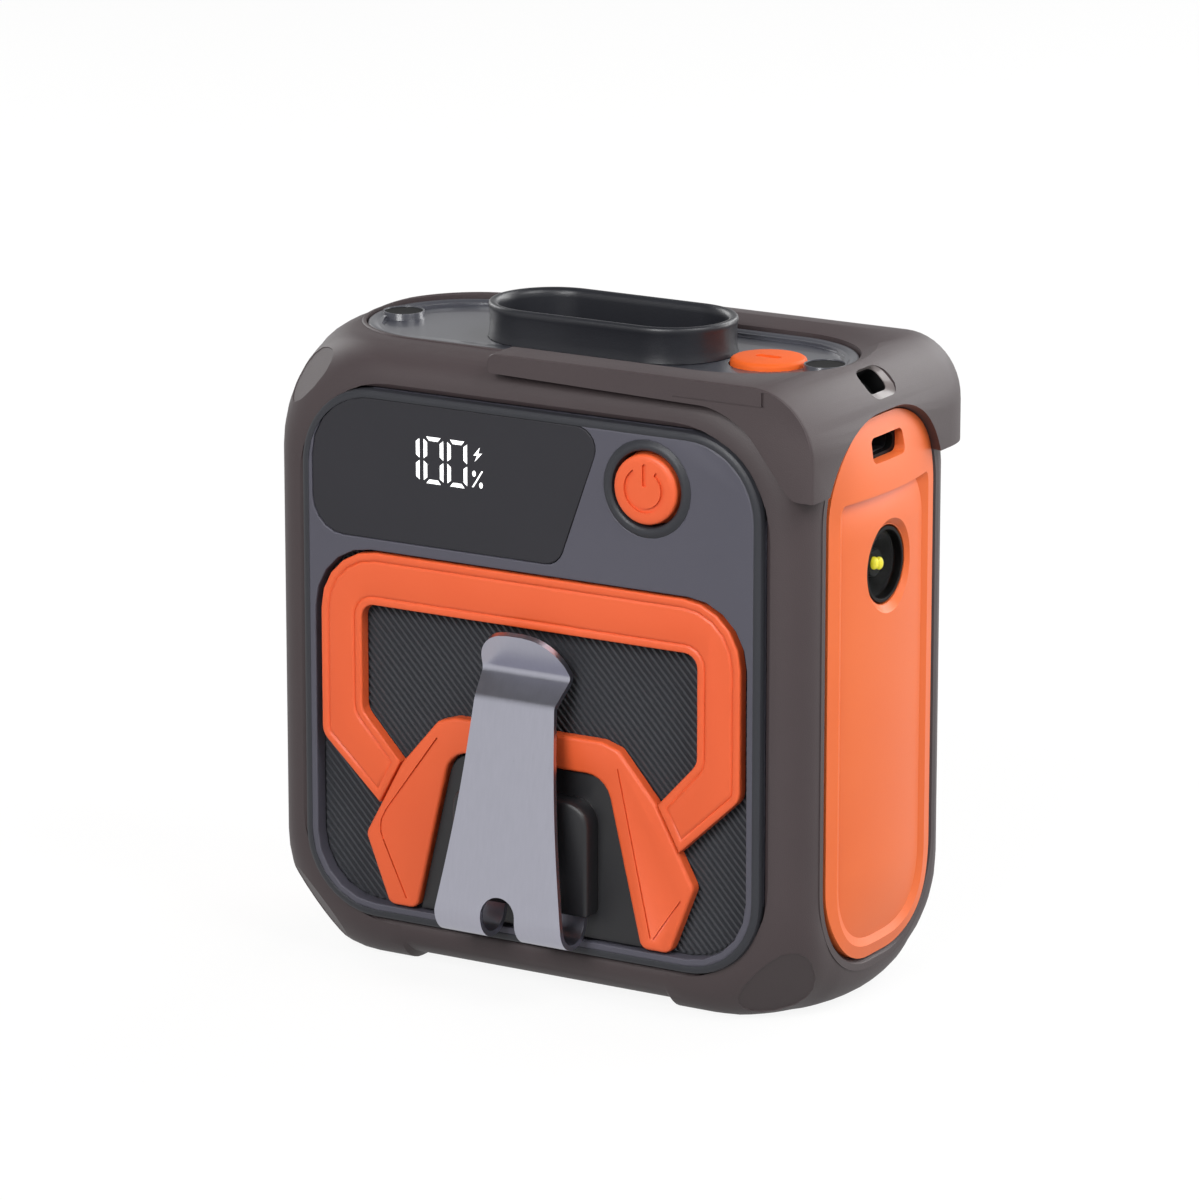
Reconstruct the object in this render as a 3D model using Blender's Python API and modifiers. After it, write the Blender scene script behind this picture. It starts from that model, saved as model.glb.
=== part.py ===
"""Portable waist fan with a steel belt clip, an air outlet on top and a torch in its side.

Body frame: x to the right, y into the depth from the plane of the front opening, z up from the feet.
Everything hangs on one empty, which puts the middle of the base at the world origin.
"""

from math import acos, asin, atan2, ceil, cos, hypot, pi, radians, sin, sqrt, tan, tau

import bmesh
import bpy
from mathutils import Matrix, Vector

MM = 0.001

# Fits
CLEARANCE = 0.3 * MM            # gap between pieces that sit on or in each other
RUNNING_FIT = 0.06 * MM         # shaft in its bearings
ARC_STEP = radians(18)          # longest turn of one straight piece of a round corner
ROUND_SIDES = 24                # sides of a round piece
SMALL_SIDES = 16                # of a small one
LARGE_SIDES = 48                # and of a large one

# Rubber bumper
BODY_WIDTH = 100.0 * MM
BODY_DEPTH = 50.6 * MM
BODY_HEIGHT = 104.0 * MM        # feet to the plain top, without the cap
SIDE_WALL = 6.8 * MM
TOP_WALL = 6.6 * MM
BOTTOM_WALL = 7.7 * MM
CORNER_R = 11.2 * MM            # outline at half depth
OPENING_R = 13.8 * MM
LIP = 0.7 * MM                  # flat left around the front and back openings
LIP_R = 17.5 * MM
EDGE_DEPTH = 7.0 * MM           # depth of the round edges along the straight sides
CORNER_DEPTH = 15.0 * MM        # and at the corners
EDGE_RINGS = 6
LEAST_STEP = 0.1                # share of the feet's height that is left at the lip
FOOT_STEP = 1.2 * MM            # height of the feet below the bottom between them
FOOT_FLAT = 0.4 * MM            # feet start this far inside the lip's round corners
COLLAR = 2.0 * MM               # rim that the bumper keeps around a side panel and around the deck
COLLAR_PROUD = 0.2 * MM

# Square cap over the bumper's top right corner
CAP_RISE = 1.7 * MM
CAP_OUT = 2.2 * MM
CAP_PROUD = 1.4 * MM            # cap's front and back faces stand out of the bumper's
CAP_REACH = 57.0 * MM           # how far the strip runs along the top, from the side of the body
CAP_DROP = 17.5 * MM            # how far it reaches down the side, from its top
CAP_STRIP = 4.4 * MM            # height of the strip's front face
CAP_WIDTH = 14.2 * MM           # from the side to where the strip's lower edge turns down
CAP_FOOT = 4.0 * MM             # width of its lower end on the front
CAP_TURN_R = 6.0 * MM
CAP_FOOT_R = 1.5 * MM
CAP_CORNER_R = 11.0 * MM
CAP_EDGE = 1.2 * MM
STRAP_HOLE = (5.0 * MM, 4.2 * MM)
STRAP_HOLE_DEPTH = 4.5 * MM

# Housing shells
PANEL_PROUD = 1.1 * MM          # how far the shells' faces stand out of the bumper
PANEL_THICK = 2.4 * MM
PANEL_CHAMFER = 1.6 * MM
SKIRT = 1.6 * MM
POST_R = 3.2 * MM
POST_INSET = 7.0 * MM           # post axis to the inside of the opening
PILOT_DEPTH = 10.0 * MM

# Display and its window, measured from the left and top of the opening
WINDOW_LEFT = 2.4 * MM
WINDOW_TOP = 1.7 * MM
WINDOW_HEIGHT = 23.4 * MM
WINDOW_TO_POWER = 8.0 * MM      # its right end to the power button's axis
WINDOW_SLANT = 8.4 * MM
WINDOW_TOP_R = 10.5 * MM
WINDOW_LOW_R = 6.0 * MM
WINDOW_END_R = 3.5 * MM
WINDOW_THICK = 1.0 * MM
WINDOW_SETBACK = 0.1 * MM       # behind the front shell's face
DISPLAY_SIZE = (21.0 * MM, 12.0 * MM)
DISPLAY_PLACE = (26.5 * MM, 9.6 * MM)   # its middle from the window's left and top

# Buttons
BUTTON_TRAVEL = 0.9 * MM
BUTTON_FLANGE = 0.6 * MM
BUTTON_LIP = 1.0 * MM           # how far the retaining flange reaches past its hole
POWER_FROM_SIDE = 21.0 * MM     # power button's axis from the right of the opening
POWER_FROM_TOP = 10.4 * MM      # power button's axis below the top of the opening
POWER_R = 5.9 * MM
POWER_PROUD = 0.9 * MM          # in front of the front shell's face
BEZEL_WALL = 1.4 * MM
BEZEL_PROUD = 0.5 * MM
BEZEL_FLANGE = 0.6 * MM
LIGHT_R = 6.2 * MM
LIGHT_LIP = 0.7 * MM
LIGHT_PROUD = 1.1 * MM          # above the deck's floor
PLUNGER_R = 2.0 * MM
SWITCH_SIZE = 6.0 * MM
SWITCH_GAP = 0.1 * MM           # left between a pressed button and its switch

# Front grille and trims, placed from the middle of the body and, but for the frame's top, from the bottom
# of the opening
GRILLE_FLANGE = 0.6 * MM        # how far its flange reaches behind the front shell
TRIM_GAP = 0.4 * MM             # frame trim to the edge of the grille's opening
GRILLE_PLATE = 1.6 * MM
TRIM_PROUD = 0.2 * MM           # in front of the front shell's face
TRIM_DEPTH = 2.4 * MM           # trim face to the grille's ribs
FRAME_FROM_SIDE = 3.95 * MM     # frame trim to the sides of the opening
FRAME_FROM_TOP = 27.4 * MM      # and to its top
FRAME_BAND = 7.8 * MM           # width of the upright bands
FRAME_HEAD = 8.8 * MM           # height of the top band
FRAME_R = 10.4 * MM
FRAME_INNER_R = 2.3 * MM
FRAME_BEND = 30.6 * MM          # height of the outer bends
FRAME_INNER_BEND = 35.5 * MM
BEND_R = 3.0 * MM
ARCH_TOP = 36.7 * MM
ARCH_HEAD = 5.7 * MM            # height of the arch's top band
ARCH_SHOULDER = (17.0 * MM, 35.7 * MM)
ARCH_JOINT = (24.0 * MM, 27.6 * MM)
ARCH_ELBOW = (31.0 * MM, 14.7 * MM)
ARCH_FOOT = 3.2 * MM            # height of the legs' lower ends
ARCH_FOOT_OUTER = 26.5 * MM
ARCH_FOOT_INNER = 21.2 * MM
ARCH_INNER = (14.6 * MM, 31.0 * MM)
ARCH_R = 1.6 * MM
ARCH_INNER_R = 4.5 * MM
ARM_WIDTH = 8.4 * MM            # where the frame's slanting arms meet the arch

# Belt clip: one strip of sprung steel, bent into a U at its lower end
CLIP_THICK = 0.9 * MM
CLIP_BEND_R = 4.25 * MM         # to the middle of the strip
CLIP_BEND_Z = 14.9 * MM
CLIP_LEG_Y = -2.15 * MM         # middle of the leg inside the boss
CLIP_WIDTH = 23.7 * MM
CLIP_NECK = 14.9 * MM
CLIP_TIP = 16.4 * MM
CLIP_TIP_ROUND = 0.9            # tip's corner radius as a share of its half width
CLIP_EASE = 1.5 * MM            # reach of the curve at each fold
CLIP_ARC_PIECES = 6             # straight pieces of each half of the bend
CLIP_FOLD_Y = -5.05 * MM
CLIP_HEEL_Y = -1.05 * MM
CLIP_END_Y = -5.0 * MM
CLIP_FROM_FRAME = 7.3 * MM      # heel below the frame trim's top band
CLIP_FOLD_DROP = 3.9 * MM       # fold below the heel
CLIP_END_RISE = 6.8 * MM        # end above the heel
CLIP_LEG_TOP = 32.0 * MM
CLIP_SPLIT = radians(84)        # turn of the bend that stays with the leg
CLIP_SWING = radians(10)        # how far the tongue opens
CLIP_SPLIT_GAP = 0.15 * MM      # left at the split when it is open
CLIP_HOLE_R = 3.2 * MM
CLIP_HOLE_Z = 15.3 * MM
BOSS_WALL = 1.0 * MM
BOSS_SIDE = 0.65 * MM
BOSS_LOW = 15.2 * MM
BOSS_R = 4.0 * MM
BOSS_EDGE = 0.8 * MM
MOUNT_FACE = 1.1 * MM           # mount plate's face behind the trims' faces
BARB_R = 2.0 * MM

# Top deck and outlet
DECK_END = 6.2 * MM             # bumper left at each end of the deck
DECK_HALF_WIDTH = 17.2 * MM
DECK_RIM = 2.3 * MM
DECK_RIM_DROP = 0.3 * MM        # rim below the bumper's top
DECK_FLOOR_DROP = 0.6 * MM      # floor below the rim
DECK_THICK = 1.8 * MM
EYELET_INSET = 4.2 * MM         # eyelet's middle to the end of the deck
EYELET_R = 3.7 * MM
EYELET_HOLE_R = 2.4 * MM
EYELET_RISE = 1.8 * MM
EYELET_TO_LIGHT = 0.4 * MM      # gaps along the deck
LIGHT_TO_NOZZLE = 1.1 * MM
EYELET_TO_NOZZLE = 14.7 * MM
NOZZLE_HALF_WIDTH = 10.4 * MM
NOZZLE_WALL = 1.5 * MM
NOZZLE_RISE = 6.0 * MM          # above the deck's floor
FLANGE_THICK = 1.5 * MM
FLANGE_REACH = 2.0 * MM
FLANGE_DROP = 1.2 * MM          # flange below the housing's top wall

# Side panels
SIDE_HALF = 17.5 * MM
SIDE_LOW = 8.0 * MM
SIDE_FROM_TOP = 6.7 * MM        # below the bumper's top
SIDE_R = 14.8 * MM
SIDE_THICK = 1.4 * MM           # at its edge
SIDE_BULGE = 2.2 * MM           # how far its middle stands out past its edge
BULGE_RUN = 16.0 * MM           # length of the rise from its ends
FIELD_HALF = 14.2 * MM
FIELD_RISE = 4.2 * MM           # field's lower end above the panel's
FIELD_DROP = 12.2 * MM          # field's upper end below the panel's
FIELD_LOW_R = 12.0 * MM
FIELD_HIGH_R = 2.0 * MM
FIELD_DEPTH = 0.8 * MM
SLOT_SIZE = (10.4 * MM, 4.0 * MM)
SLOT_DROP = 5.1 * MM            # its middle below the panel's upper end
PORT_SIZE = (8.9 * MM, 3.1 * MM)
PORT_ROUND = 0.8                # socket's corner radius as a share of its half height
PORT_WALL = 0.35 * MM
PORT_BACK = 0.8 * MM
PORT_LENGTH = 6.0 * MM

# Torch
TORCH_DROP = 24.8 * MM          # its axis below the panel's upper end
TORCH_R = 6.5 * MM
TORCH_OFFSET = 0.7 * MM         # its axis behind the middle of the panel
DISH_R = 7.7 * MM               # wide end of the dished hole in the panel
DISH_DEPTH = 1.0 * MM
CUP_WALL = 0.6 * MM
CUP_THROAT_R = 2.9 * MM
CUP_LENGTH = 6.0 * MM
CUP_FLOOR = 1.0 * MM
LENS_THICK = 1.2 * MM
LENS_SETBACK = 0.2 * MM         # behind the cup's rim
LED_SIZE = 3.4 * MM
LED_THICK = 0.8 * MM

# Blower
FAN_X = 0.0 * MM
FAN_Z = 47.0 * MM
IMPELLER_R = 26.0 * MM
BLADE_COUNT = 22
BLADE_THICK = 0.8 * MM
BLADE_LENGTH = 7.0 * MM
BLADE_SWEEP = radians(24)
BLADE_CURVE = 1.5               # power that bends the sweep
BLADE_PIECES = 3
BLADE_DEPTH = 21.0 * MM
DISC_THICK = 1.2 * MM
HUB_WALL = 1.2 * MM
RUN_GAP = 2.2 * MM              # impeller to the scroll's flat walls
SCROLL_START = 2.5 * MM         # gap at the cut-off
SCROLL_GROWTH = 6.0 * MM
SCROLL_WALL = 1.5 * MM
CUTOFF = radians(60)
SCROLL_END = radians(-210)
SCROLL_PIECES = 26              # straight pieces of the spiral
THROAT_DROP = 12.0 * MM         # straight length of the duct below its top
INLET_R = 20.0 * MM
SHAFT_R = 1.0 * MM
BEARING_WALL = 0.8 * MM
BEARING_LENGTH = 2.0 * MM
TUBE_WALL = 0.8 * MM
BASE_R = 9.0 * MM
BASE_THICK = 1.2 * MM
STATOR_R = 8.6 * MM
STATOR_LENGTH = 7.0 * MM
TOOTH_COUNT = 9
TOOTH_GAP = 1.4 * MM
ROTOR_GAP = 0.5 * MM
ROTOR_WALL = 1.0 * MM

# Intake grille in the rear shell
INTAKE_R = 31.0 * MM
INTAKE_RING = 2.6 * MM
INTAKE_THICK = 1.8 * MM
INTAKE_HUB_R = 6.0 * MM
BAR_WIDTH = 1.8 * MM
BAR_PITCH = 4.2 * MM
BAR_INSET = 0.3 * MM            # bars' faces inside the ring's
BAR_TILT = radians(45)

# Electronics
BATTERY_SIZE = (64.0 * MM, 9.4 * MM)
BATTERY_LOW = 4.5 * MM          # above the bottom of the opening
BATTERY_TO_BOARD = 3.2 * MM
BATTERY_EDGE = 1.5 * MM
BOARD_THICK = 1.6 * MM
BOARD_SIZE = (60.0 * MM, 27.0 * MM)
BOARD_FROM_TOP = 3.0 * MM
DISPLAY_DEPTH = 5.8 * MM
SIDE_BOARD_THICK = 1.4 * MM
SIDE_BOARD_DROP = 12.5 * MM     # its lower end below the torch's axis
SIDE_BOARD_R = 2.0 * MM
LIGHT_BOARD_SIZE = 12.6 * MM
LIGHT_BOARD_THICK = 1.2 * MM
LIGHT_SWITCH_HEIGHT = 3.0 * MM
PLUNGER_LENGTH = 5.0 * MM

# Case screws
SCREW_HEAD_R = 2.6 * MM
SCREW_HEAD = 1.4 * MM
SCREW_R = 1.4 * MM
SCREW_BITE = 8.0 * MM           # length in the front shell's post

# Places worked out from the driving dimensions
HALF = BODY_WIDTH / 2
MIDDLE = BODY_DEPTH / 2
OPEN_HALF = HALF - SIDE_WALL
OPEN_LOW = BOTTOM_WALL
OPEN_HIGH = BODY_HEIGHT - TOP_WALL
FRONT = -PANEL_PROUD
FRONT_BACK = FRONT + PANEL_THICK
REAR = BODY_DEPTH + PANEL_PROUD
REAR_BACK = REAR - PANEL_THICK
SHELL_HALF = OPEN_HALF - CLEARANCE
SHELL_HIGH = OPEN_HIGH - CLEARANCE
CAP_TOP = BODY_HEIGHT + CAP_RISE
CAP_RIGHT = HALF + CAP_OUT
FRAME_HALF = OPEN_HALF - FRAME_FROM_SIDE
FRAME_HIGH = OPEN_HIGH - FRAME_FROM_TOP
TRIM_FRONT = FRONT - TRIM_PROUD
GRILLE_FRONT = TRIM_FRONT + TRIM_DEPTH
TRIM_BACK = GRILLE_FRONT - CLEARANCE
GRILLE_SEAT = FRONT_BACK + CLEARANCE
GRILLE_BACK = GRILLE_SEAT + GRILLE_PLATE
CLIP_HEEL_Z = FRAME_HIGH - FRAME_HEAD - CLIP_FROM_FRAME
CLIP_FOLD_Z = CLIP_HEEL_Z - CLIP_FOLD_DROP
CLIP_END_Z = CLIP_HEEL_Z + CLIP_END_RISE
CLIP_BEND_Y = CLIP_LEG_Y - CLIP_BEND_R
CLIP_FRONT = CLIP_BEND_Y - CLIP_BEND_R - CLIP_THICK / 2
POWER_X = OPEN_HALF - POWER_FROM_SIDE
POWER_Z = OPEN_HIGH - POWER_FROM_TOP
DECK_HALF_LENGTH = HALF - DECK_END
EYELET_X = DECK_HALF_LENGTH - EYELET_INSET
LIGHT_X = EYELET_X - EYELET_R - EYELET_TO_LIGHT - LIGHT_R
NOZZLE_RIGHT = LIGHT_X - LIGHT_R - LIGHT_TO_NOZZLE
NOZZLE_LEFT = EYELET_R - EYELET_X + EYELET_TO_NOZZLE
NOZZLE_X = (NOZZLE_RIGHT + NOZZLE_LEFT) / 2
NOZZLE_HALF_LENGTH = (NOZZLE_RIGHT - NOZZLE_LEFT) / 2
DECK_TOP = BODY_HEIGHT - DECK_RIM_DROP
DECK_FLOOR = DECK_TOP - DECK_FLOOR_DROP
DECK_UNDER = DECK_FLOOR - DECK_THICK
FLANGE_TOP = SHELL_HIGH - SKIRT - FLANGE_DROP
DUCT_TOP = FLANGE_TOP - FLANGE_THICK - CLEARANCE
SCROLL_FRONT = GRILLE_BACK + BATTERY_SIZE[1] + 2 * CLEARANCE
SCROLL_FLOOR = SCROLL_FRONT + SCROLL_WALL
DISC_FRONT = SCROLL_FLOOR + RUN_GAP
DISC_BACK = DISC_FRONT + DISC_THICK
BLADE_BACK = DISC_BACK + BLADE_DEPTH
SCROLL_RIM = BLADE_BACK + DISC_THICK + RUN_GAP
COVER_FRONT = SCROLL_RIM + CLEARANCE
BASE_FRONT = SCROLL_FLOOR + CLEARANCE
BEARING_BORE = SHAFT_R + RUNNING_FIT
BEARING_R = BEARING_BORE + BEARING_WALL
TUBE_INNER_R = BEARING_R + CLEARANCE
TUBE_R = TUBE_INNER_R + TUBE_WALL
STATOR_FRONT = BASE_FRONT + BASE_THICK + CLEARANCE
STATOR_BACK = STATOR_FRONT + STATOR_LENGTH
TUBE_BACK = STATOR_BACK + CLEARANCE
ROTOR_INNER_R = STATOR_R + ROTOR_GAP
ROTOR_R = ROTOR_INNER_R + ROTOR_WALL
ROTOR_INNER = TUBE_BACK + ROTOR_GAP
ROTOR_BACK = ROTOR_INNER + ROTOR_WALL
HUB_R = ROTOR_R + CLEARANCE + HUB_WALL
HUB_INNER = ROTOR_BACK + CLEARANCE
HUB_BACK = HUB_INNER + HUB_WALL
SIDE_HIGH = BODY_HEIGHT - SIDE_FROM_TOP
FIELD_LOW = SIDE_LOW + FIELD_RISE
FIELD_HIGH = SIDE_HIGH - FIELD_DROP
SLOT_Z = SIDE_HIGH - SLOT_DROP
TORCH_Z = SIDE_HIGH - TORCH_DROP
SIDE_INNER = SHELL_HALF + CLEARANCE
SIDE_BACK = HALF - SIDE_THICK
WALL_INNER = SHELL_HALF - SKIRT
SIDE_FACE = HALF + SIDE_BULGE
TORCH_FACE = SIDE_FACE - FIELD_DEPTH - DISH_DEPTH
CUP_R = TORCH_R - CLEARANCE
BOARD_LOW = OPEN_HIGH - BOARD_FROM_TOP - BOARD_SIZE[1]
SCREW_SEAT = REAR - SCREW_HEAD - 2 * CLEARANCE
FRONT_SEAM = MIDDLE - CLEARANCE / 2
REAR_SEAM = MIDDLE + CLEARANCE / 2

# Middle of the whole outline, which becomes the world origin
CENTRE_X = (max(CAP_RIGHT, SIDE_FACE) - SIDE_FACE) / 2
CENTRE_Y = (CLIP_FRONT + max(REAR, BODY_DEPTH + CAP_PROUD)) / 2

for leftover in list(bpy.data.objects):
    bpy.data.objects.remove(leftover, do_unlink=True)

fan = bpy.data.collections.new("portable_waist_fan")
cutters = bpy.data.collections.new("cutters")
for group in (fan, cutters):
    bpy.context.scene.collection.children.link(group)

base = bpy.data.objects.new("base_middle", None)
base.location = (-CENTRE_X, -CENTRE_Y, 0)
fan.objects.link(base)


def finish(name, colour, roughness, metallic=0.0):
    """A plain finish for one kind of surface, with its colour as a display value."""
    material = bpy.data.materials.new(name)
    material.use_nodes = True
    shader = material.node_tree.nodes["Principled BSDF"]
    linear = [channel ** 2.2 for channel in colour]
    shader.inputs["Base Color"].default_value = (*linear, 1)
    shader.inputs["Roughness"].default_value = roughness
    shader.inputs["Metallic"].default_value = metallic
    return material


RUBBER = finish("taupe_rubber", (0.36, 0.33, 0.32), 0.75)
SLATE = finish("slate_plastic", (0.35, 0.35, 0.39), 0.55)
ORANGE = finish("orange_plastic", (0.91, 0.42, 0.24), 0.45)
BLACK = finish("black_plastic", (0.12, 0.12, 0.13), 0.5)
GLASS = finish("smoked_window", (0.2, 0.2, 0.22), 0.15)
LENS = finish("clear_lens", (0.85, 0.87, 0.88), 0.08)
STEEL = finish("satin_steel", (0.65, 0.65, 0.69), 0.3, 1.0)
COPPER = finish("copper_winding", (0.72, 0.42, 0.25), 0.4, 1.0)
BOARD = finish("green_board", (0.1, 0.32, 0.2), 0.5)
FOIL = finish("battery_wrap", (0.55, 0.57, 0.6), 0.35)
LAMP = finish("led_yellow", (0.9, 0.82, 0.2), 0.4)


def turned_about(point, angle):
    """A flat point turned about the origin."""
    u, v = point
    return Vector((u * cos(angle) - v * sin(angle), u * sin(angle) + v * cos(angle)))


def rounded(corners):
    """A closed outline through (u, v, radius) corners, each rounded by an arc of its radius."""
    points = []
    for index, (u, v, radius) in enumerate(corners):
        here = Vector((u, v))
        before = (Vector(corners[index - 1][:2]) - here).normalized()
        after = (Vector(corners[(index + 1) % len(corners)][:2]) - here).normalized()
        half = acos(max(-1.0, min(1.0, before.dot(after)))) / 2
        centre = here + (before + after).normalized() * radius / sin(half)
        start = here + before * radius / tan(half) - centre
        end = here + after * radius / tan(half) - centre
        turn = atan2(start.x * end.y - start.y * end.x, start.dot(end))
        pieces = max(1, ceil(abs(turn) / ARC_STEP - 0.01)) if radius else 0
        for piece in range(pieces + 1):
            point = centre + turned_about(start, turn * piece / max(1, pieces))
            if not points or (point - points[-1]).length > 1e-6:
                points.append(point)
    if (points[0] - points[-1]).length < 1e-6:
        points.pop()
    return points


def rectangle(low, high, radius=0.0):
    """A rectangle between two corners, with round corners if a radius is given."""
    (u0, v0), (u1, v1) = low, high
    return rounded([(u0, v0, radius), (u1, v0, radius), (u1, v1, radius), (u0, v1, radius)])


def stadium(half_length, half_width, centre):
    """A slot shape with round ends."""
    u, v = centre
    return rectangle((u - half_length, v - half_width), (u + half_length, v + half_width), half_width)


def circle(radius, centre, sides=ROUND_SIDES):
    """A round outline."""
    return [Vector(centre) + turned_about((radius, 0), tau * side / sides) for side in range(sides)]


def flipped(corners):
    """The same corners on the other side of the middle, in the order that goes on round the outline."""
    return [(-u, v, radius) for u, v, radius in reversed(corners)]


# Turn a flat outline (u, v) to stand across x, y or z
ACROSS = {
    "x": Matrix(((0, 0, 1, 0), (1, 0, 0, 0), (0, 1, 0, 0), (0, 0, 0, 1))),
    "y": Matrix(((1, 0, 0, 0), (0, 0, -1, 0), (0, 1, 0, 0), (0, 0, 0, 1))),
    "z": Matrix.Identity(4),
}
ALONG = {"x": Vector((1, 0, 0)), "y": Vector((0, 1, 0)), "z": Vector((0, 0, 1))}


def placed(name, mesh):
    """An object on the base empty that holds this mesh."""
    piece = bpy.data.objects.new(name, mesh)
    fan.objects.link(piece)
    piece.parent = base
    return piece


def closed_mesh(shape, place=None):
    """A curve or a modified mesh made one plain closed mesh, and the shape removed."""
    bpy.context.view_layer.update()
    evaluated = shape.evaluated_get(bpy.context.evaluated_depsgraph_get())
    mesh = bpy.data.meshes.new_from_object(evaluated)
    if place:
        mesh.transform(place)
    bpy.data.objects.remove(shape, do_unlink=True)
    work = bmesh.new()
    work.from_mesh(mesh)
    bmesh.ops.remove_doubles(work, verts=work.verts, dist=1e-6)
    bmesh.ops.dissolve_limit(work, angle_limit=1e-3, verts=work.verts, edges=work.edges)
    bmesh.ops.recalc_face_normals(work, faces=work.faces)
    work.to_mesh(mesh)
    work.free()
    return mesh


def plate(name, axis, low, high, *outlines):
    """A flat outline, with any holes after it, as thick as low to high along its axis."""
    curve = bpy.data.curves.new(name, "CURVE")
    curve.dimensions = "2D"
    curve.fill_mode = "BOTH"
    curve.extrude = abs(high - low) / 2
    for outline in outlines:
        spline = curve.splines.new("POLY")
        spline.points.add(len(outline) - 1)
        for point, (u, v) in zip(spline.points, outline):
            point.co = (u, v, 0, 1)
        spline.use_cyclic_u = True
    flat = bpy.data.objects.new(name, curve)
    bpy.context.scene.collection.objects.link(flat)
    middle = ALONG[axis] * (low + high) / 2
    return placed(name, closed_mesh(flat, Matrix.Translation(middle) @ ACROSS[axis]))


def box(name, low, high):
    """A block between two corners."""
    work = bmesh.new()
    bmesh.ops.create_cube(work, size=1)
    size = Vector(high) - Vector(low)
    middle = (Vector(high) + Vector(low)) / 2
    sized = Matrix.Translation(middle) @ Matrix.Diagonal((*size, 1))
    bmesh.ops.transform(work, matrix=sized, verts=work.verts)
    mesh = bpy.data.meshes.new(name)
    work.to_mesh(mesh)
    work.free()
    return placed(name, mesh)


def cylinder(name, axis, low, high, centre, radius, far_radius=None, sides=ROUND_SIDES):
    """A round bar or a cone frustum along an axis, with centre as its place across the axis."""
    work = bmesh.new()
    bmesh.ops.create_cone(work, cap_ends=True, segments=sides, radius1=radius,
                          radius2=radius if far_radius is None else far_radius, depth=abs(high - low))
    turn = ACROSS[axis] if axis != "y" else ACROSS[axis] @ Matrix.Rotation(pi, 4, "X")
    across = ACROSS[axis] @ Vector((*centre, 0))
    middle = Matrix.Translation(across + ALONG[axis] * (low + high) / 2)
    bmesh.ops.transform(work, matrix=middle @ turn, verts=work.verts)
    mesh = bpy.data.meshes.new(name)
    work.to_mesh(mesh)
    work.free()
    return placed(name, mesh)


def turned(name, centre, profile):
    """A closed (radius, y) profile turned about a line along y; its outer side runs from high y to low y."""
    mesh = bpy.data.meshes.new(name)
    count = len(profile)
    sides = [(index, (index + 1) % count) for index in range(count)]
    mesh.from_pydata([(radius, 0, y) for radius, y in profile], sides, [])
    shape = bpy.data.objects.new(name, mesh)
    bpy.context.scene.collection.objects.link(shape)
    screw = shape.modifiers.new("turn", "SCREW")
    screw.steps = screw.render_steps = ROUND_SIDES
    screw.use_merge_vertices = True
    screw.merge_threshold = 1e-6
    upright = ACROSS["y"] @ Matrix.Rotation(pi, 4, "X")
    across = ACROSS["y"] @ Vector((*centre, 0))
    return placed(name, closed_mesh(shape, Matrix.Translation(across) @ upright))


def combine(part, operation, others):
    """Keep the other shapes as hidden guides and join them to the part, or take them away."""
    for other in others:
        for group in list(other.users_collection):
            group.objects.unlink(other)
        cutters.objects.link(other)
        other.hide_render = True
        other.display_type = "WIRE"
        modifier = part.modifiers.new(other.name, "BOOLEAN")
        modifier.operation = operation
        modifier.object = other
        modifier.solver = "EXACT"
    return part


def cut(part, *others):
    return combine(part, "DIFFERENCE", others)


def fuse(part, *others):
    return combine(part, "UNION", others)


def keep_inside(part, other):
    return combine(part, "INTERSECT", [other])


def soften(part, width, segments=2, angle=50):
    """Round, or with one segment chamfer, the edges sharper than an angle."""
    bevel = part.modifiers.new("edges", "BEVEL")
    bevel.width = width
    bevel.segments = segments
    bevel.limit_method = "ANGLE"
    bevel.angle_limit = radians(angle)
    bevel.use_clamp_overlap = False
    return part


def dress(part, material, smooth=40):
    """Give a part its finish and shade its round faces smooth."""
    part.data.materials.clear()
    part.data.materials.append(material)
    part.data.shade_smooth()
    part.data.set_sharp_from_angle(angle=radians(smooth))
    return part


def pivot(part, point):
    """Move a part's origin onto its joint, and leave its shape where it is."""
    part.data.transform(Matrix.Translation(-Vector(point)))
    part.location = point
    return part


def opening(gap=0.0):
    """Outline of the bumper's front opening, drawn in by a gap."""
    low = (-OPEN_HALF + gap, OPEN_LOW + gap)
    high = (OPEN_HALF - gap, OPEN_HIGH - gap)
    return rectangle(low, high, OPENING_R - gap)


def side_outline(grow=0.0):
    """Outline of a side panel, let out by a distance."""
    low = (MIDDLE - SIDE_HALF - grow, SIDE_LOW - grow)
    high = (MIDDLE + SIDE_HALF + grow, SIDE_HIGH + grow)
    return rectangle(low, high, SIDE_R + grow)


def deck_outline(grow=0.0):
    return stadium(DECK_HALF_LENGTH + grow, DECK_HALF_WIDTH + grow, (0, MIDDLE))


def nozzle_outline(grow=0.0):
    return stadium(NOZZLE_HALF_LENGTH + grow, NOZZLE_HALF_WIDTH + grow, (NOZZLE_X, MIDDLE))


def post_places():
    """Middles of the four case posts."""
    x = OPEN_HALF - POST_INSET
    return [(side * x, z) for side in (-1, 1) for z in (OPEN_LOW + POST_INSET, OPEN_HIGH - POST_INSET)]


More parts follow.
